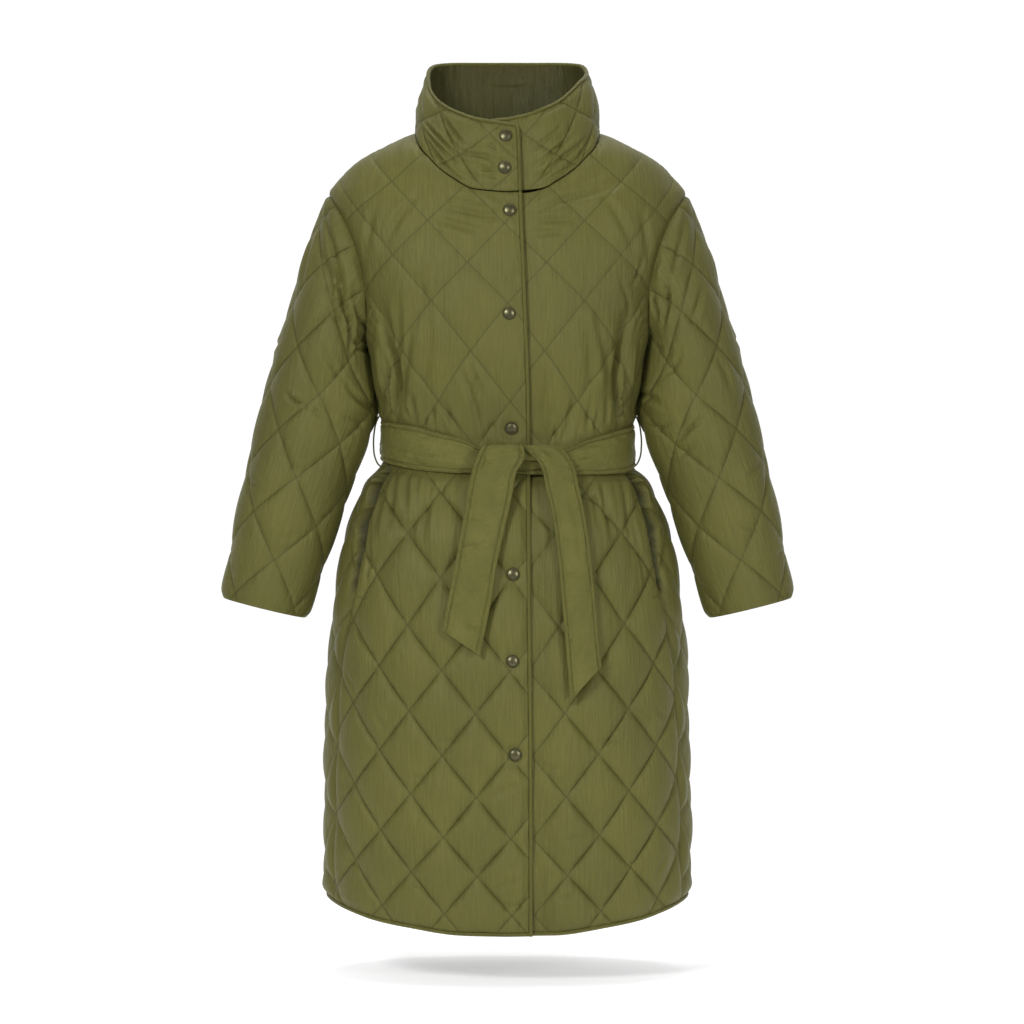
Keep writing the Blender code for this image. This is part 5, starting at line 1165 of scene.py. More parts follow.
def cut_out(quilt, outline, steps):
    """A pattern piece of quilted cloth, flat, with a second face one unit below it for the lining."""
    shape, flat = yardage(quilt, outline, steps)
    inside = inside_distance(outline, flat) - SEAM_GAP / 2
    move_vertices(shape, np.column_stack([inside, flat]))
    far = [vertex for vertex in shape.verts if vertex.co.x < -0.012]
    bmesh.ops.delete(shape, geom=far, context="VERTS")
    bmesh.ops.bisect_plane(shape, geom=shape.verts[:] + shape.edges[:] + shape.faces[:], dist=1e-6,
                           plane_co=(0, 0, 0), plane_no=(1, 0, 0), clear_inner=True)
    cut = vertex_array(shape)
    move_vertices(shape, np.column_stack([cut[:, 1:], np.zeros(len(cut))]))
    bmesh.ops.remove_doubles(shape, verts=shape.verts, dist=0.00035)
    bmesh.ops.recalc_face_normals(shape, faces=shape.faces)
    bmesh.ops.solidify(shape, geom=shape.faces[:], thickness=1.0)
    return shape


def finished(name, shape, points, uv=None, floats=None, sharp=50):
    """A piece from a bmesh whose vertices get their places, pattern coordinates and numbers from arrays."""
    move_vertices(shape, points)
    if shape.calc_volume(signed=True) < 0:
        bmesh.ops.reverse_faces(shape, faces=shape.faces)
    mesh = bpy.data.meshes.new(name)
    shape.to_mesh(mesh)
    shape.free()
    mesh.shade_smooth()
    mesh.set_sharp_from_angle(angle=math.radians(sharp))
    if uv is not None:
        corner = np.zeros(len(mesh.loops), dtype=np.int32)
        mesh.loops.foreach_get("vertex_index", corner)
        mesh.uv_layers.new(name="Cloth").data.foreach_set("uv", uv[corner].ravel().astype(np.float32))
    for label, values in (floats or {}).items():
        mesh.attributes.new(label, "FLOAT", "POINT").data.foreach_set("value", values.astype(np.float32))
    piece = bpy.data.objects.new(name, mesh)
    bpy.context.scene.collection.objects.link(piece)
    print(name, len(mesh.vertices), "vertices")
    return piece


# %% [markdown]
# ## Laying a panel on its form
#
# The outer face gets the padding, the puckers and the creases; the lining face stays plain, one wall
# inside.

# %%
CRINKLE = 0.00024           # height of the fine crinkles that run with the grain
LINING_CRINKLE = 0.0005
TUCK = 0.0004               # unevenness of the cloth that a seam or edge draws in
BILLOW = 0.0012             # slow unevenness of cloth that hangs
LINING_ROOM = 0.0014        # creases deeper than this push the lining in too

Panel = namedtuple("Panel", "name form quilt outline shape creases loft topstitched steps")


def crinkle(across, up, seed):
    """Fine upright streaks, about as high as they are given in metres."""
    return drift(across / 0.0065, up / 0.045, seed) + 0.6 * drift(across / 0.0033, up / 0.02, seed + 1)


def panel_lift(cloth, station, along):
    """The heights over its form of a panel's outer face and of its lining, and the distance to its edge."""
    from_edge = np.maximum(inside_distance(cloth.outline, np.column_stack([station, along])), 0.0)
    share, push = cloth.shape(station, along)
    across, up = (station, along) if cloth.form.ROUND == 0 else (along, station)
    held = 1 - (1 - np.minimum(from_edge / SEAM_PULL, 1.0)) ** 2
    fill = PUFF * cloth.quilt.puff(station, along) * share * cloth.loft(station, along)
    soft = crease_push(cloth.creases, station, along) * np.minimum(from_edge / 0.006, 1.0)
    soft = soft * (0.3 + 0.7 * share)
    small = cloth.quilt.pucker(station, along) + CRINKLE * crinkle(across, up, 5)
    dip = SEAM_DIP * np.exp(-(from_edge / SEAM_ROUND) ** 2)
    groove = np.exp(-((from_edge - TOPSTITCH) / TOPSTITCH_WIDTH) ** 2)
    dip += TOPSTITCH_DIP * groove * cloth.topstitched(station, along)
    tuck = TUCK * drift((station + along) / 0.006, (station - along) / 0.006, 21)
    tuck = tuck * np.exp(-from_edge / 0.006)
    billow = BILLOW * drift(across / 0.052, up / 0.070, 41) * np.minimum(from_edge / 0.02, 1.0)
    outer = fill * held + small * np.minimum(from_edge / 0.004, 1.0) + soft + push - dip + tuck + billow
    lining = push - WALL + np.minimum(soft + LINING_ROOM, 0.0) - LINING_CRINKLE * (1 + crinkle(across, up, 8))
    return outer, lining, from_edge


def on_panel(cloth, station, along, over=0.0):
    """Points on a panel's outer face."""
    return cloth.form.lifted(station, along, panel_lift(cloth, station, along)[0] + over)


def sewn(cloth):
    """The finished panel."""
    shape = cut_out(cloth.quilt, cloth.outline, cloth.steps)
    flat = vertex_array(shape)
    outer = np.abs(flat[:, 2]) < 0.5
    station, along = flat[:, 0], flat[:, 1]
    face, lining, from_edge = panel_lift(cloth, station, along)
    move_vertices(shape, cloth.form.lifted(station, along, cloth.shape(station, along)[1]))
    shape.verts.ensure_lookup_table()
    sum(side.calc_area() for side in shape.faces
                               if outer[[vertex.index for vertex in side.verts]].all())
    points = cloth.form.lifted(station, along, np.where(outer, face, lining))
    stitch = np.where(outer, cloth.quilt.stitch_distance(station, along), 0.020) * 1000
    edge = np.where(outer, np.minimum(from_edge, 0.05), 0.05) * 1000
    grain = flat[:, [cloth.form.ROUND, 1 - cloth.form.ROUND]]
    # Painted shade: the shade attribute marks the lining face, and the back where it lies deep behind the
    # pocket's mouth, to be coloured nearly black.
    shade = 1.0 - outer
    if cloth.form is BACK:
        from_front = along - np.copysign(BODY.length(station), along)
        shade = np.maximum(shade, 1.4 * smooth(1.6 * pocket_sink(station, from_front)))
    return finished(cloth.name, shape, points, grain, {"stitch": stitch, "edge": edge, "shade": shade})


def body_loft(z, along):
    """The padding is flatter over the chest than in the skirt."""
    return 0.40 + 0.85 * smooth((-0.20 - z) / 0.28)


def even_loft(station, along):
    return 0.85


def off_side_seam(z, along):
    """1 where a body panel's edge has a line of stitches beside it: everywhere but along the side seam."""
    from_side = np.abs(np.abs(along) - side_seam(z))
    return ((z > SLEEVE[0].inner_z) | (from_side > 2 * TOPSTITCH)).astype(float)


RIGHT_OUTLINE = front_outline(-1, lambda z: EDGE.edge(z) - MARGIN)
LEFT_OUTLINE = front_outline(1, lambda z: left_edge(z) + MARGIN)
BACK_OUTLINE = back_outline()
SLEEVE_OUTLINE = sleeve_outline()
COLLAR_OUTLINE = collar_outline()

RIGHT = Panel("front_right_cloth", BODY, BodyQuilt("right"), RIGHT_OUTLINE, right_shape, RIGHT_CREASES,
              body_loft, off_side_seam, int(22 * FINENESS))
LEFT = Panel("front_left_cloth", BODY, BodyQuilt("left"), LEFT_OUTLINE, left_shape, LEFT_CREASES,
             body_loft, off_side_seam, int(22 * FINENESS))
REAR = Panel("back_cloth", BACK, BodyQuilt("back"), BACK_OUTLINE, back_shape, BACK_CREASES, body_loft,
             lambda z, along: off_side_seam(z, BODY.length(z) - np.abs(along)), int(14 * FINENESS))
ARM_RIGHT = Panel("sleeve_right_cloth", SLEEVE_TUBE, SLEEVE_LATTICE, SLEEVE_OUTLINE, sleeve_shape,
                  SLEEVE_RIGHT_CREASES, even_loft, lambda station, along: (along < 0.02).astype(float),
                  int(22 * FINENESS))
ARM_LEFT = ARM_RIGHT._replace(name="sleeve_left_cloth", creases=SLEEVE_LEFT_CREASES)
NECKBAND = Panel("collar_cloth", COLLAR, COLLAR_LATTICE, COLLAR_OUTLINE, collar_shape, COLLAR_CREASES,
                 lambda station, along: 0.7, lambda station, along: 1.0, int(28 * FINENESS))

front_right, front_left, back, sleeve_right, sleeve_left, collar = [
    sewn(cloth) for cloth in (RIGHT, LEFT, REAR, ARM_RIGHT, ARM_LEFT, NECKBAND)]
sleeve_left.data.transform(Matrix.Scale(-1, 4, Vector((1, 0, 0))))
sleeve_left.data.flip_normals()

# %% [markdown]
# ## Swept pieces
#
# Bindings and belt are strips with a rounded section. A grid is rolled up: one direction runs along the
# strip, the other round its section, and the two edges that meet are welded.


# %%
def rolled(name, place, along_count, round_count, closed=False, sharp=50):
    """A closed strip. place(u, v) gives points: u runs along it and v round its section, both from 0 to 1."""
    shape = bmesh.new()
    bmesh.ops.create_grid(shape, x_segments=along_count, y_segments=round_count, size=0.5)
    share = vertex_array(shape)[:, :2] + 0.5
    move_vertices(shape, place(share[:, 0], share[:, 1]))
    first = shape.verts.layers.float.new("u")
    second = shape.verts.layers.float.new("v")
    for vertex, (u, v) in zip(shape.verts, share.tolist()):
        vertex[first], vertex[second] = u, v
    bmesh.ops.remove_doubles(shape, verts=shape.verts, dist=1e-6)
    if not closed:
        rim = [edge for edge in shape.edges if edge.is_boundary]
        bmesh.ops.holes_fill(shape, edges=rim)
    bmesh.ops.recalc_face_normals(shape, faces=shape.faces)
    pattern = np.array([(vertex[first], vertex[second]) for vertex in shape.verts])
    return finished(name, shape, vertex_array(shape), pattern, sharp=sharp)


def line_reader(points):
    """A smooth line through points, read at shares of its length."""
    line = through(points, 6 * len(points))
    reach = np.linspace(0.0, 1.0, len(line))
    return lambda share: between(share, reach, line)


def section_of(table, v):
    """A strip's section at shares of the way round it: how far across, and how high."""
    section = np.array(table + table[:1])
    at = np.linspace(0.0, 1.0, len(section))
    return np.interp(v, at, section[:, 0]), np.interp(v, at, section[:, 1])


def square_to(step):
    """In the pattern's two numbers, the way at right angles to a line's own."""
    return np.column_stack([-step[:, 1], step[:, 0]])


# %% [markdown]
# ## Bound edges
#
# A strip of the same cloth is folded round every free edge. Its section is a narrow U, a little fuller than
# the cloth it holds.

# %%
BindingPoint = namedtuple("BindingPoint", "across face")     # shares: of the width, and from wall to face
BINDING_SECTION = tuple(BindingPoint(*line) for line in (
    (1.0, 0.86), (0.90, 1.00), (0.60, 1.07), (0.32, 1.04), (0.12, 0.84), (0.02, 0.60), (0.02, 0.38),
    (0.12, 0.14), (0.32, -0.04), (0.60, -0.07), (0.90, 0.00), (1.0, 0.14),
))
BINDING_RISE, BINDING_DROP = 0.0012, 0.0004     # how far it stands over the cloth's face, and under its wall


def binding(name, form, edge, shape, inward, steps):
    read = line_reader(np.array(edge))

    def place(u, v):
        line = read(u)
        step = unit(read(np.minimum(u + 0.002, 1.0)) - read(np.maximum(u - 0.002, 0.0)))
        side = square_to(step) * inward * BINDING
        share, push = shape(line[:, 0], line[:, 1])
        face, wall = push + BINDING_RISE * np.minimum(share, 1.0), push - WALL - BINDING_DROP
        across, height = section_of(BINDING_SECTION, v)
        spot = line + side * across[:, None]
        return form.lifted(spot[:, 0], spot[:, 1], wall + (face - wall) * height)

    return rolled(name, place, steps, len(BINDING_SECTION), sharp=60)


half_hem = float(BODY.length(HEM_LEVEL))
hem_start, hem_end = float(EDGE.edge(HEM_FRONT)) - MARGIN, float(left_edge(HEM_FRONT)) + MARGIN - 2 * half_hem


def hem_shape(z, along):
    under_the_lap = along < -1.5 * half_hem
    return np.ones_like(z), np.where(under_the_lap, left_shape(z, along + 2 * half_hem)[1], SETTLE)


def edge_line(edge):
    top = NECK.z(abs(neck_turn(float(edge(NECK_FRONT))))) - 2 * SEAM_GAP
    z = np.linspace(float(hem_height(edge(HEM_FRONT))), float(top), 60)
    return np.column_stack([z, edge(z)])


hem_along = np.linspace(hem_start, hem_end, 120)
binding_right = binding("binding_front_right_tape", BODY, edge_line(EDGE.edge), right_shape, -1, 300)
binding_left = binding("binding_front_left_tape", BODY, edge_line(left_edge), left_shape, 1, 300)
binding_hem = binding("binding_hem_tape", BODY, np.column_stack([hem_height(hem_along), hem_along]),
                      hem_shape, 1, 420)
binding_collar = binding("binding_collar_tape", COLLAR, collar_edge_line(0.0), collar_shape, -1, 320)

# %% [markdown]
# ## Armhole rolls
#
# Inside each armhole the raw edges of the seam are rolled up in a tape. It can only be seen through the
# seam, which it keeps shut against the light.

# %%
TAPE_RADIUS, TAPE_DEPTH = 0.0021, 0.0026


def armhole_roll(name, side):
    z, along = armhole_seam(np.linspace(-180.0, 180.0, 200))
    read = line_reader(np.column_stack([z, -side * along]))

    def place(u, v):
        line = read(u)
        step = unit(read((u + 0.003) % 1.0) - read((u - 0.003) % 1.0))
        turn = 2 * math.pi * v
        spot = line + square_to(step) * (TAPE_RADIUS * np.cos(turn))[:, None]
        return BODY.lifted(spot[:, 0], spot[:, 1], SETTLE - TAPE_DEPTH + TAPE_RADIUS * np.sin(turn))

    return rolled(name, place, 200, 12, closed=True)


armhole_rolls = [armhole_roll("armhole_roll_right", -1), armhole_roll("armhole_roll_left", 1)]

# %% [markdown]
# ## The belt
#
# A flat tube of cloth, turned and pressed, with a line of stitches a few millimetres inside each edge. It
# goes round the waist, crosses in a knot, and its two ends hang down in front.

# %%
BELT_SECTION = tuple(BindingPoint(*line) for line in (
    (0.0, 0.5), (0.006, 0.85), (0.03, 1.02), (0.085, 0.98), (0.110, 0.56), (0.135, 0.94), (0.25, 1.04),
    (0.50, 1.06), (0.75, 1.04), (0.865, 0.94), (0.890, 0.56), (0.915, 0.98), (0.97, 1.02), (0.994, 0.85),
    (1.0, 0.5), (0.98, 0.0), (0.75, 0.0), (0.50, 0.0), (0.25, 0.0), (0.02, 0.0),
))


BELT_LEVEL = -0.37          # height at which the belt's length is measured
BELT_CRINKLE, BELT_CRUMPLE = 0.00030, 0.00080
BELT_WAVES, BELT_PUCKER = 0.0004, 0.0009
TAIL_BOW, TAIL_SWAY, TAIL_PUCKER = 0.0016, 0.0007, 0.0010
half_waist = float(BODY.length(BELT_LEVEL))


def meeting(z, along):
    """Distances along the belt, stretched behind so that both halves meet at centre back."""
    more = BODY.length(z) - half_waist
    return along + np.sign(along) * more * smooth((np.abs(along) / half_waist - 0.5) / 0.5)


def outer_face(height):
    """1 on a strip's outer face, 0 on its inner face."""
    return smooth(2 * height - 0.6)


def beside_stitches(across):
    """1 on a strip's two lines of stitches, fading on both sides of each."""
    return np.exp(-((np.abs(across - 0.5) - 0.4) / 0.10) ** 2)


def cloth_relief(table, height, station, along, grain_across, grain_up):
    """What folds and crinkles add to a strip's outer face; nothing on its inner face."""
    crumple = drift(grain_across / 0.011, grain_up / 0.017, 33)
    crumple = crumple + 0.6 * drift(grain_across / 0.005, grain_up / 0.009, 34)
    relief = crease_push(table, station, along) + BELT_CRINKLE * crinkle(grain_across, grain_up, 31)
    return (relief + BELT_CRUMPLE * crumple) * outer_face(height)


def band_place(u, v):
    along = (2 * u - 1) * half_waist * (1 - 1e-9)
    across, height = section_of(BELT_SECTION, v)
    top, bottom = BELT_EDGE.top(along), BELT_EDGE.bottom(along)
    z = top + (bottom - top) * across
    near_knot = np.exp(-(along / 0.14) ** 2)
    waves = np.sin(across * 21 + 3 * drift(along / 0.06, across * 0 + 0.5, 17)) * BELT_WAVES * near_knot
    puckers = BELT_PUCKER * drift(along / 0.0045, across * 12, 19) * beside_stitches(across)
    inner = SETTLE + BELT_LIFT + BELT_THICK * height + outer_face(height) * (waves + puckers)
    inner += cloth_relief(BELT_CREASES, height, z, along, z, along)
    upper = BODY.lifted(top, meeting(top, along), inner)
    lower = BODY.lifted(bottom, meeting(bottom, along), inner)
    return upper * (1 - across)[:, None] + lower * across[:, None]


belt_band = rolled("belt_band_cloth", band_place, int(440 * FINENESS), 3 * len(BELT_SECTION), closed=True)


def tail_faces(rows):
    """A tail's two edges and the way it faces, each as a line read at shares of the way down."""
    def off_coat(x, z, stand):
        return BODY.lifted(z, BODY.along(x, z), stand)[0]

    count = 8 * len(rows)
    left = through([off_coat(row.left_x, row.left_z, row.stand) for row in rows], count)
    right = through([off_coat(row.right_x, row.right_z, row.stand) for row in rows], count)
    facing = unit(np.cross(np.gradient((left + right) / 2, axis=0), right - left))
    at = np.linspace(0.0, 1.0, count)

    def reader(line):
        return lambda share: between(share, at, line)

    return reader(left), reader(right), reader(facing)


def tail_place(rows, table):
    left, right, facing = tail_faces(rows)

    def place(u, v):
        across, height = section_of(BELT_SECTION, v)
        flat = left(u) * (1 - across)[:, None] + right(u) * across[:, None]
        bow = TAIL_BOW * np.sin(np.pi * across) * smooth((u - 0.30) / 0.2)
        sway = TAIL_SWAY * drift(u * 9, across * 2.3, 23) * smooth((u - 0.30) / 0.1)
        pucker = TAIL_PUCKER * drift(u * 62, across * 12, 27) * beside_stitches(across)
        relief = cloth_relief(table, height, flat[:, 2], flat[:, 0], across * 0.048, u * 0.3)
        lift = BELT_THICK * (height - 0.5) + bow + sway + pucker + relief
        return flat + facing(u) * lift[:, None]

    return place


TAIL_RIGHT_PLACE = tail_place(TAIL_RIGHT, TAIL_RIGHT_CREASES)
TAIL_LEFT_PLACE = tail_place(TAIL_LEFT, TAIL_LEFT_CREASES)
tail_right = rolled("belt_tail_right_cloth", TAIL_RIGHT_PLACE, int(220 * FINENESS), 3 * len(BELT_SECTION))
tail_left = rolled("belt_tail_left_cloth", TAIL_LEFT_PLACE, int(220 * FINENESS), 3 * len(BELT_SECTION))


KNOT_END, KNOT_WIDE, KNOT_HEIGHT = -0.024, 0.080, -0.4005       # x of its right end, its width, its middle
KNOT_TALL, KNOT_THICK, KNOT_STAND = 0.0115, 0.0013, 0.0052      # half its height, half its depth, its stand
KNOT_PLEAT = 0.0007


def knot_place(u, v):
    size = np.sqrt(np.maximum(0.15, 1 - (2 * u - 1) ** 4))
    x = KNOT_END + KNOT_WIDE * u
    turn = 2 * math.pi * v
    pleat = KNOT_PLEAT * np.sin(5 * turn + 6 * u) * np.sin(np.pi * u)
    z = KNOT_HEIGHT + (KNOT_TALL * size + pleat) * np.cos(turn)
    return BODY.lifted(z, BODY.along(x, z), KNOT_STAND + (KNOT_THICK * size + pleat) * np.sin(turn))


belt_knot = rolled("belt_knot_cloth", knot_place, 80, 60, sharp=80)

# %% [markdown]
# ## Snaps and thread carriers

# %%
SnapPoint = namedtuple("SnapPoint", "share height")
SNAP_PROFILE = tuple(SnapPoint(*line) for line in (
    (1.00, 0.0000), (1.02, 0.0008), (0.99, 0.0015), (0.93, 0.0020), (0.86, 0.0020), (0.80, 0.0016),
    (0.76, 0.0013), (0.70, 0.0014), (0.52, 0.0019), (0.30, 0.0022), (0.10, 0.0023), (0.00, 0.0023),
))


def snap_place(snap):
    """Where a snap sits on its form, as (station, along)."""
    if not snap.on_collar:
        return snap.z, float(BODY.along(snap.x, snap.z)[0])
    station = -(COLLAR.half + snap.x)
    rise = np.linspace(0.0, float(COLLAR.length(station)), 60)
    return station, float(np.interp(snap.z, COLLAR.point(np.full_like(rise, station), rise)[:, 2], rise))


snaps = []
for number, snap in enumerate(SNAPS, 1):
    cap = bmesh.new()
    profile = [cap.verts.new((point.share * SNAP_RADIUS, 0.0, point.height)) for point in SNAP_PROFILE]
    edges = [cap.edges.new(pair) for pair in zip(profile[:-1], profile[1:])]
    bmesh.ops.spin(cap, geom=profile + edges, cent=(0, 0, 0), axis=(0, 0, 1), angle=2 * math.pi, steps=48,
                   use_merge=True)
    bmesh.ops.remove_doubles(cap, verts=cap.verts, dist=1e-6)
    bmesh.ops.holes_fill(cap, edges=[edge for edge in cap.edges if edge.is_boundary])
    bmesh.ops.recalc_face_normals(cap, faces=cap.faces)
    form, place = COLLAR if snap.on_collar else BODY, snap_place(snap)
    point = form.lifted(*place, SETTLE + 3 * SEAM_GAP)[0]
    facing = Vector(form.normal(*place)[0]).to_track_quat("Z", "Y").to_matrix().to_4x4()
    bmesh.ops.transform(cap, matrix=Matrix.Translation(point) @ facing, verts=cap.verts)
    snaps.append(finished(f"snap_cap_{number}", cap, vertex_array(cap), sharp=35))

CARRIER_PATH = (            # (x, z), from above the belt to below it
    (0.1500, -0.3375), (0.1568, -0.3405), (0.1622, -0.3500), (0.1650, -0.3640), (0.1656, -0.3800),
    (0.1640, -0.3930), (0.1602, -0.4015), (0.1540, -0.4070),
)
CARRIER_Y = -0.012


def carrier(name, side):
    line = through([(side * x, CARRIER_Y, z) for x, z in CARRIER_PATH], 60)
    step = unit(np.gradient(line, axis=0))
    across = unit(np.cross(step, (0.0, 1.0, 0.0)))
    other = np.cross(across, step)
    at = np.linspace(0.0, 1.0, len(line))

    def place(u, v):
        turn = 2 * math.pi * v
        radius = THREAD * (0.75 + 0.25 * np.abs(np.cos(turn - 40 * math.pi * u)))      # two twisted plies
        return (between(u, at, line) + between(u, at, across) * (radius * np.cos(turn))[:, None]
                + between(u, at, other) * (radius * np.sin(turn))[:, None])

    return rolled(name, place, 200, 12, sharp=80)


carriers = [carrier("belt_carrier_right_thread", -1), carrier("belt_carrier_left_thread", 1)]

# %% [markdown]
# ## Topstitching
#
# A second line of stitches runs beside each seam and edge, and inside both edges of the belt. Each stitch
# is a tiny stretched sphere, laid in the groove that it makes in the cloth. They are joined into one mesh:
# thousands of separate objects would be slow, and nobody moves one stitch.

# %%
STITCH, STITCH_PITCH, STITCH_RADIUS = 0.0023, 0.0031, 0.00030
stitch_places = []          # of every stitch: three axes and the middle, as the columns of a 3 x 4 matrix


def sew(points, facing, pitch=STITCH_PITCH):
    """Adds a row of stitches along a line of points, on cloth that faces one way at each of them."""
    reach = reach_along(points)
    at = np.arange(pitch / 2, reach[-1], pitch)
    start, end = [between(at + half, reach, points) for half in (-STITCH / 2, STITCH / 2)]
    thread_way = unit(end - start)
    across = unit(np.cross(between(at, reach, facing), thread_way))
    upward = np.cross(thread_way, across)
    axes = (thread_way * STITCH / 2, across * STITCH_RADIUS, upward * STITCH_RADIUS, (start + end) / 2)
    stitch_places.extend(np.stack(axes, axis=2))


def joined_stitches():
    """All stitches as one mesh: copies of one stretched sphere."""
    ball = bmesh.new()
    bmesh.ops.create_uvsphere(ball, u_segments=5, v_segments=3, radius=1.0)
    corners = vertex_array(ball)
    sides = [[vertex.index for vertex in side.verts] for side in ball.faces]
    places = np.array(stitch_places)
    points = np.einsum("nij,kj->nki", places[:, :, :3], corners) + places[:, None, :, 3]
    faces = [[copy * len(corners) + k for k in side] for copy in range(len(places)) for side in sides]
    mesh = bpy.data.meshes.new("stitches")
    mesh.from_pydata(points.reshape(-1, 3).tolist(), [], faces)
    shape = bmesh.new()
    shape.from_mesh(mesh)
    bpy.data.meshes.remove(mesh)
    print(len(places), "stitches")
    return shape


def even_line(line, step=0.002):
    """A line's points again, at even distances along it."""
    reach = reach_along(line)
    return between(np.arange(0.0, reach[-1], step), reach, line)


def topstitch(cloth, seen=lambda station, along: np.ones(len(station), dtype=bool), mirror=1):
    """Rows of stitches beside the edges of a panel."""
    line = even_line(np.vstack([cloth.outline, cloth.outline[:1]]))
    step = unit(np.gradient(line, axis=0))
    aside = square_to(step) * TOPSTITCH
    way = np.sign(np.median(inside_distance(cloth.outline, line + aside)))
    line = line + way * aside
    keep = inside_distance(cloth.outline, line) > 0.92 * TOPSTITCH
    keep &= (cloth.topstitched(*line.T) > 0.5) & seen(*line.T)
    for row in np.split(np.arange(len(line)), np.flatnonzero(np.diff(keep)) + 1):
        if keep[row[0]] and len(row) > 4:
            station, along = line[row].T
            facing = cloth.form.normal(station, along) * (mirror, 1, 1)
            sew(on_panel(cloth, station, along, 0.5 * STITCH_RADIUS) * (mirror, 1, 1), facing)


topstitch(RIGHT)
topstitch(LEFT, lambda z, along: along > EDGE.edge(z) + 0.004)
topstitch(REAR)
topstitch(NECKBAND)
topstitch(ARM_RIGHT)
topstitch(ARM_LEFT, mirror=-1)

turn = np.linspace(0.0, 1.0, 600)
for place in (band_place, TAIL_RIGHT_PLACE, TAIL_LEFT_PLACE):
    for groove in (4, 10):                  # the belt section's two lowest points
        v = np.full_like(turn, groove / len(BELT_SECTION))
        points = place(turn, v)
        facing = np.cross(place(turn, v + 0.03) - place(turn, v - 0.03), np.gradient(points, axis=0))
        outward = points * (1, 1, 0)
        facing *= np.sign((facing * outward).sum(axis=1, keepdims=True))
        sew(points + unit(facing) * 0.5 * STITCH_RADIUS, facing)

PocketRow = namedtuple("PocketRow", "cloth facing bar")
POCKETS = (                  # lines of (along, height) in millimetres
    PocketRow(RIGHT, (-156, -430, -168, -470, -176, -520, -182, -563), (-204, -562, -183, -567)),
    PocketRow(LEFT, (156, -430, 167, -470, 177, -520, 184, -563), (205, -562, 185, -566)),
)
for pocket in POCKETS:
    station, along = even_line(creases(((1, 1, *pocket.facing),))[0].path).T
    sew(on_panel(pocket.cloth, station, along, 0.5 * STITCH_RADIUS), BODY.normal(station, along))
    for z, along in even_line(creases(((1, 1, *pocket.bar),))[0].path, 0.0009):
        z = np.array([z - 0.0013, z + 0.0013])
        along = np.array([along, along])
        sew(on_panel(pocket.cloth, z, along, STITCH_RADIUS), BODY.normal(z, along), 0.0026)
stitching = joined_stitches()
stitch_points = vertex_array(stitching)
topstitching = finished("topstitching_thread", stitching, stitch_points, stitch_points[:, [0, 2]], sharp=180)

# %% [markdown]
# ## Shader maths
#
# `Maths` wraps a socket, so that a mask can be written as an expression.


# %%
class Sheet:
    """The node tree of one material."""

    def __init__(self, name):
        self.material = bpy.data.materials.new(name)
        self.material.use_nodes = True
        self.tree = self.material.node_tree
        self.shader = self.tree.nodes["Principled BSDF"]

    def node(self, kind, settings=None, **sockets):
        """A node of a type: settings are set first, then sockets take values or links."""
        made = self.tree.nodes.new(kind)
        for label, value in (settings or {}).items():
            setattr(made, label, value)
        for label, value in sockets.items():
            socket = made.inputs[int(label[1:]) if label[1:].isdigit() else label.replace("_", " ")]
            self.feed(socket, value)
        return made

    def feed(self, socket, value):
        if isinstance(value, Maths):
            value = value.socket
        if isinstance(value, bpy.types.NodeSocket):
            self.tree.links.new(value, socket)
        else:
            socket.default_value = value

    def set(self, **sockets):
        """Gives values or links to sockets of the shader."""
        for label, value in sockets.items():
            self.feed(self.shader.inputs[label.replace("_", " ")], value)

    def value(self, made, output=0):
        return Maths(self, made.outputs[output])


class Maths:
    """A socket that adds, subtracts and multiplies."""

    def __init__(self, sheet, socket):
        self.sheet, self.socket = sheet, socket

    def apply(self, operation, *values, clamp=False):
        made = self.sheet.node("ShaderNodeMath", {"operation": operation, "use_clamp": clamp})
        for socket, value in zip(made.inputs, values):
            self.sheet.feed(socket, value)
        return Maths(self.sheet, made.outputs[0])

    def __add__(self, other):
        return self.apply("ADD", self, other)

    def __sub__(self, other):
        return self.apply("SUBTRACT", self, other)

    def __rsub__(self, other):
        return self.apply("SUBTRACT", other, self)

    def __mul__(self, other):
        return self.apply("MULTIPLY", self, other)

    def __truediv__(self, other):
        return self.apply("DIVIDE", self, other)

    __radd__, __rmul__ = __add__, __mul__

    def clamped(self):
        return self.apply("ADD", self, 0.0, clamp=True)


# %% [markdown]
# ## Cloth
#
# A closely woven nylon with a soft sheen. Fine crinkles run with the grain, and the colour drifts a little,
# as dyed cloth does. The stitch lines and seams are painted darker, as the shade of the grooves they lie in.

# %%
GREEN = (0.097, 0.092, 0.0232, 1.0)
DEEP_GREEN = (0.073, 0.072, 0.0190, 1.0)
# Painted shade: the inside of the coat and the hollow behind each pocket's mouth are coloured towards this
# near black.
INSIDE_SHADE = (0.018, 0.018, 0.006, 1.0)
# Painted shade for the stitch lines and seams.
GROOVE_SHADE = (0.034, 0.034, 0.009, 1.0)


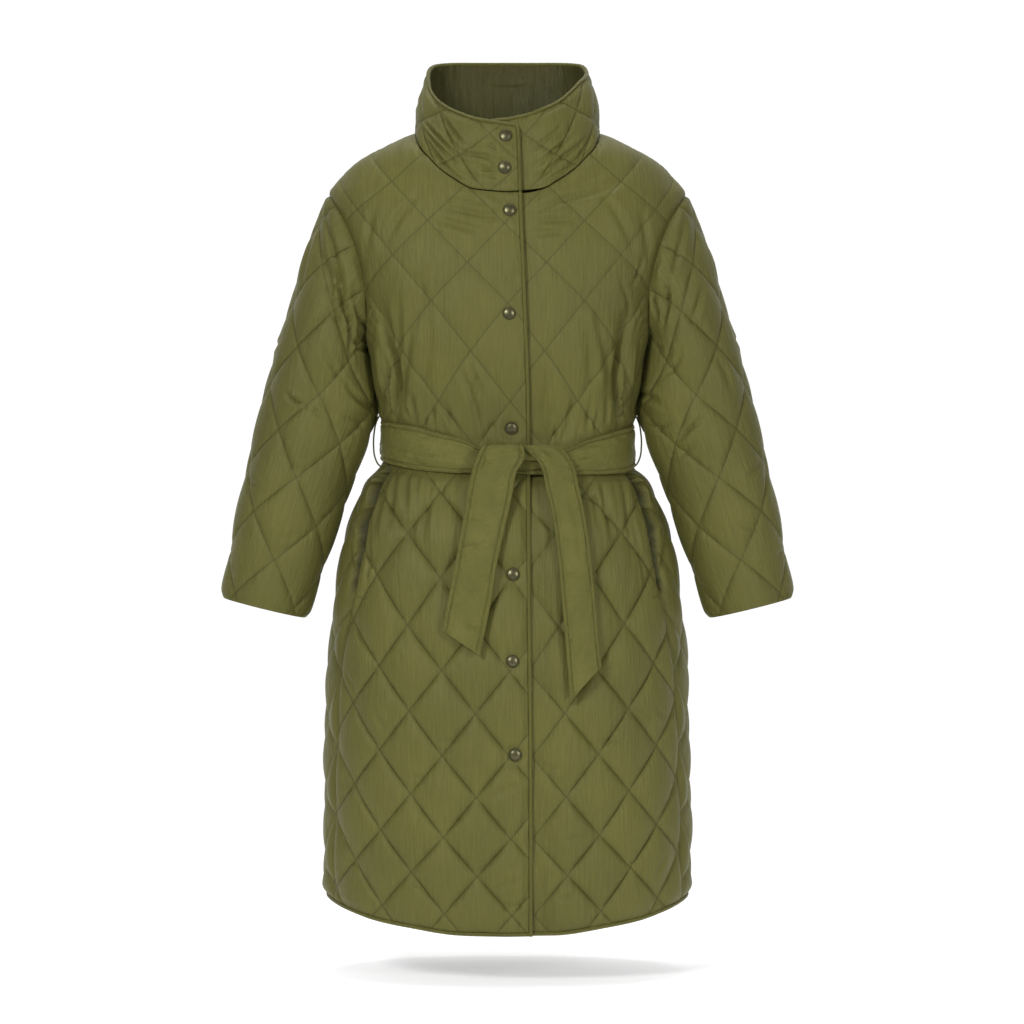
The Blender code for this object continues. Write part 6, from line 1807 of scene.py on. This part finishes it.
def cloth_material(name, grooves=True, crinkle=0.55, lightness=1.0, crumple=0.0):
    sheet = Sheet(name)
    pattern = sheet.node("ShaderNodeUVMap", {"uv_map": "Cloth"}).outputs[0]

    def noise(across, up, detail, distortion=0.0):
        scaled = sheet.node("ShaderNodeMapping", Vector=pattern, Scale=(across, up, 1.0))
        made = sheet.node("ShaderNodeTexNoise", {"noise_dimensions": "2D"}, Vector=scaled.outputs[0],
                          Scale=1.0, Detail=detail, Distortion=distortion)
        return sheet.value(made)

    def mix(factor, first, second):
        return sheet.node("ShaderNodeMix", {"data_type": "RGBA"}, _0=factor, _6=first, _7=second).outputs[2]

    streak = noise(520, 26, 3.0, 0.4)
    blotch = noise(9, 7, 3.0)
    dark, light = [tuple(lightness * c for c in colour[:3]) + (1.0,) for colour in (DEEP_GREEN, GREEN)]
    colour = mix((blotch * 1.5 + streak * 1.6 - 1.05).clamped(), dark, light)
    if grooves:
        distance = sheet.value(sheet.node("ShaderNodeAttribute", {"attribute_name": "stitch"}), 2)
        edge = sheet.value(sheet.node("ShaderNodeAttribute", {"attribute_name": "edge"}), 2)
        # Painted shade: the colour goes dark along the stitch lines and beside each seam and edge, where
        # grooves hold the light out.
        line = (1.0 - distance / 1.5).clamped() * 0.62
        seam = (1.0 - edge / 1.1).clamped() * 0.35
        colour = mix((line + seam).clamped(), colour, GROOVE_SHADE)
        # Painted shade from the shade attribute: the inside face and the pocket's hollow are mixed towards
        # near black.
        inside = sheet.value(sheet.node("ShaderNodeAttribute", {"attribute_name": "shade"}), 2)
        colour = mix((inside * 0.70).clamped(), colour, INSIDE_SHADE)
    sheet.set(Base_Color=colour)
    grain = noise(300, 24, 4.0, 0.7)
    fine = noise(1500, 90, 2.0)
    weft = noise(90, 1500, 2.0)
    soft = noise(60, 26, 2.0, 1.2)
    height = grain * crinkle + fine * 0.12 + weft * 0.08 + soft * 0.5
    if crumple:
        height = height + noise(170, 150, 2.0, 1.8) * crumple
    bump = sheet.node("ShaderNodeBump", Height=height, Strength=1.0, Distance=0.0014)
    sheet.set(Normal=bump.outputs[0], Roughness=0.44 + 0.14 * noise(120, 60, 2.0))
    sheet.set(Sheen_Weight=0.05, Sheen_Roughness=0.4, Sheen_Tint=(0.80, 0.80, 0.40, 1.0))
    sheet.set(Specular_IOR_Level=0.22, Specular_Tint=(1.0, 0.96, 0.62, 1.0))
    return sheet.material


def metal_material():
    sheet = Sheet("snap_bronze")
    place = sheet.node("ShaderNodeTexCoord").outputs["Object"]
    worn = sheet.value(sheet.node("ShaderNodeTexNoise", Vector=place, Scale=900.0, Detail=3.0))
    tone = sheet.node("ShaderNodeMix", {"data_type": "RGBA"}, _0=worn, _6=(0.052, 0.050, 0.021, 1.0),
                      _7=(0.098, 0.092, 0.043, 1.0))
    sheet.set(Base_Color=tone.outputs[2], Roughness=0.24 + 0.2 * worn, Metallic=0.7)
    return sheet.material


QUILTED = cloth_material("quilted_nylon")
# Painted light: the belt and bound edges are the same nylon as the quilted panels, coloured 1.22 times
# lighter for the light they catch.
PLAIN = cloth_material("plain_nylon", grooves=False, crumple=0.30, lightness=1.22)
THREAD_GREEN = cloth_material("polyester_thread", grooves=False, crinkle=0.2, lightness=1.15)
BRONZE = metal_material()

# %% [markdown]
# ## Dressing the frame
#
# Every piece rides on the frame's one body and stands for its node.

# %%
Dressed = namedtuple("Dressed", "piece node slot material")
DRESSED = [
    Dressed(front_right, "front_right", "quilted_cloth", QUILTED),
    Dressed(front_left, "front_left", "quilted_cloth", QUILTED),
    Dressed(back, "back", "quilted_cloth", QUILTED),
    Dressed(sleeve_right, "sleeve_right", "quilted_cloth", QUILTED),
    Dressed(sleeve_left, "sleeve_left", "quilted_cloth", QUILTED),
    Dressed(collar, "collar", "quilted_cloth", QUILTED),
    Dressed(binding_right, "binding_front_right", "binding", PLAIN),
    Dressed(binding_left, "binding_front_left", "binding", PLAIN),
    Dressed(binding_hem, "binding_hem", "binding", PLAIN),
    Dressed(binding_collar, "binding_collar", "binding", PLAIN),
    Dressed(belt_band, "belt_band", "belt_cloth", PLAIN),
    Dressed(belt_knot, "belt_knot", "belt_cloth", PLAIN),
    Dressed(tail_right, "belt_tail_right", "belt_cloth", PLAIN),
    Dressed(tail_left, "belt_tail_left", "belt_cloth", PLAIN),
    Dressed(carriers[0], "belt_loop_right", "thread", THREAD_GREEN),
    Dressed(carriers[1], "belt_loop_left", "thread", THREAD_GREEN),
    Dressed(topstitching, None, "thread", THREAD_GREEN),
    Dressed(armhole_rolls[0], None, "binding", PLAIN),
    Dressed(armhole_rolls[1], None, "binding", PLAIN),
] + [Dressed(cap, f"snap_{number}", "snap_metal", BRONZE) for number, cap in enumerate(snaps, 1)]

for part in DRESSED:
    part.piece.data.materials.clear()
    part.piece.data.materials.append(part.material)
    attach(part.piece, "root")
    if part.node:
        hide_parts(part.node)

# %% [markdown]
# ## A record type for what a piece was cut from, not used here


Cut = namedtuple("Cut", "piece flat held rests_on with_pieces")

# %% [markdown]
# ## Floor, light and camera
#
# A plain white studio: a pale floor a little below the hem, broad soft light from the front and above, and
# a level camera at waist height.

# %%
CAMERA_HEIGHT, CAMERA_DISTANCE, CAMERA_X = -0.461, 4.5, 0.0056
FRAME_WIDTH = 1.2698        # metres across the picture at the coat
FLOOR = -1.03

camera_data = bpy.data.cameras.new("camera")
camera_data.sensor_width = 36.0
camera_data.lens = 36.0 * CAMERA_DISTANCE / FRAME_WIDTH
camera = bpy.data.objects.new("camera", camera_data)
camera.location = (CAMERA_X, -CAMERA_DISTANCE, CAMERA_HEIGHT)
camera.rotation_euler = (math.pi / 2, 0.0, 0.0)
bpy.context.scene.collection.objects.link(camera)
bpy.context.scene.camera = camera

ground = bmesh.new()
bmesh.ops.create_circle(ground, cap_ends=True, segments=96, radius=1.6)
bmesh.ops.translate(ground, verts=ground.verts, vec=(0, 0, FLOOR))
floor = finished("floor", ground, vertex_array(ground))
backdrop_shape = bmesh.new()
bmesh.ops.create_grid(backdrop_shape, x_segments=1, y_segments=1, size=30.0)
bmesh.ops.rotate(backdrop_shape, verts=backdrop_shape.verts, matrix=Matrix.Rotation(math.pi / 2, 3, "X"))
bmesh.ops.translate(backdrop_shape, verts=backdrop_shape.verts, vec=(0, 14.0, 0))
backdrop = finished("backdrop", backdrop_shape, vertex_array(backdrop_shape))


def studio_white(name, colour, glow):
    """White paper that also glows by itself, so that it shows as white."""
    sheet = Sheet(name)
    sheet.set(Base_Color=(colour, colour, colour, 1.0), Roughness=0.9, Specular_IOR_Level=0.0)
    sheet.set(Emission_Color=(1.0, 1.0, 1.0, 1.0), Emission_Strength=glow)
    return sheet.material


floor.data.materials.append(studio_white("white_floor", 0.8, 0.42))
backdrop.data.materials.append(studio_white("white_paper", 0.2, 0.98))

world = bpy.data.worlds.new("studio")
bpy.context.scene.world = world
world.use_nodes = True
sky = world.node_tree.nodes["Background"].inputs
sky["Color"].default_value = (1.0, 1.0, 1.0, 1.0)
sky["Strength"].default_value = 0.25


def lamp(name, place, target, size, power):
    data = bpy.data.lights.new(name, "AREA")
    data.shape, data.size, data.energy = "DISK", size, power
    made = bpy.data.objects.new(name, data)
    made.location = place
    made.rotation_euler = (Vector(target) - Vector(place)).to_track_quat("-Z", "Y").to_euler()
    bpy.context.scene.collection.objects.link(made)


lamp("key", (-1.4, -2.7, 0.7), (0, 0, -0.3), 0.7, 66)
lamp("fill", (1.8, -2.8, 0.1), (0, 0, -0.3), 0.9, 49)
lamp("top", (0.0, 0.15, 2.8), (0, 0, -0.5), 1.8, 62)

bpy.context.scene.view_settings.view_transform = "Standard"
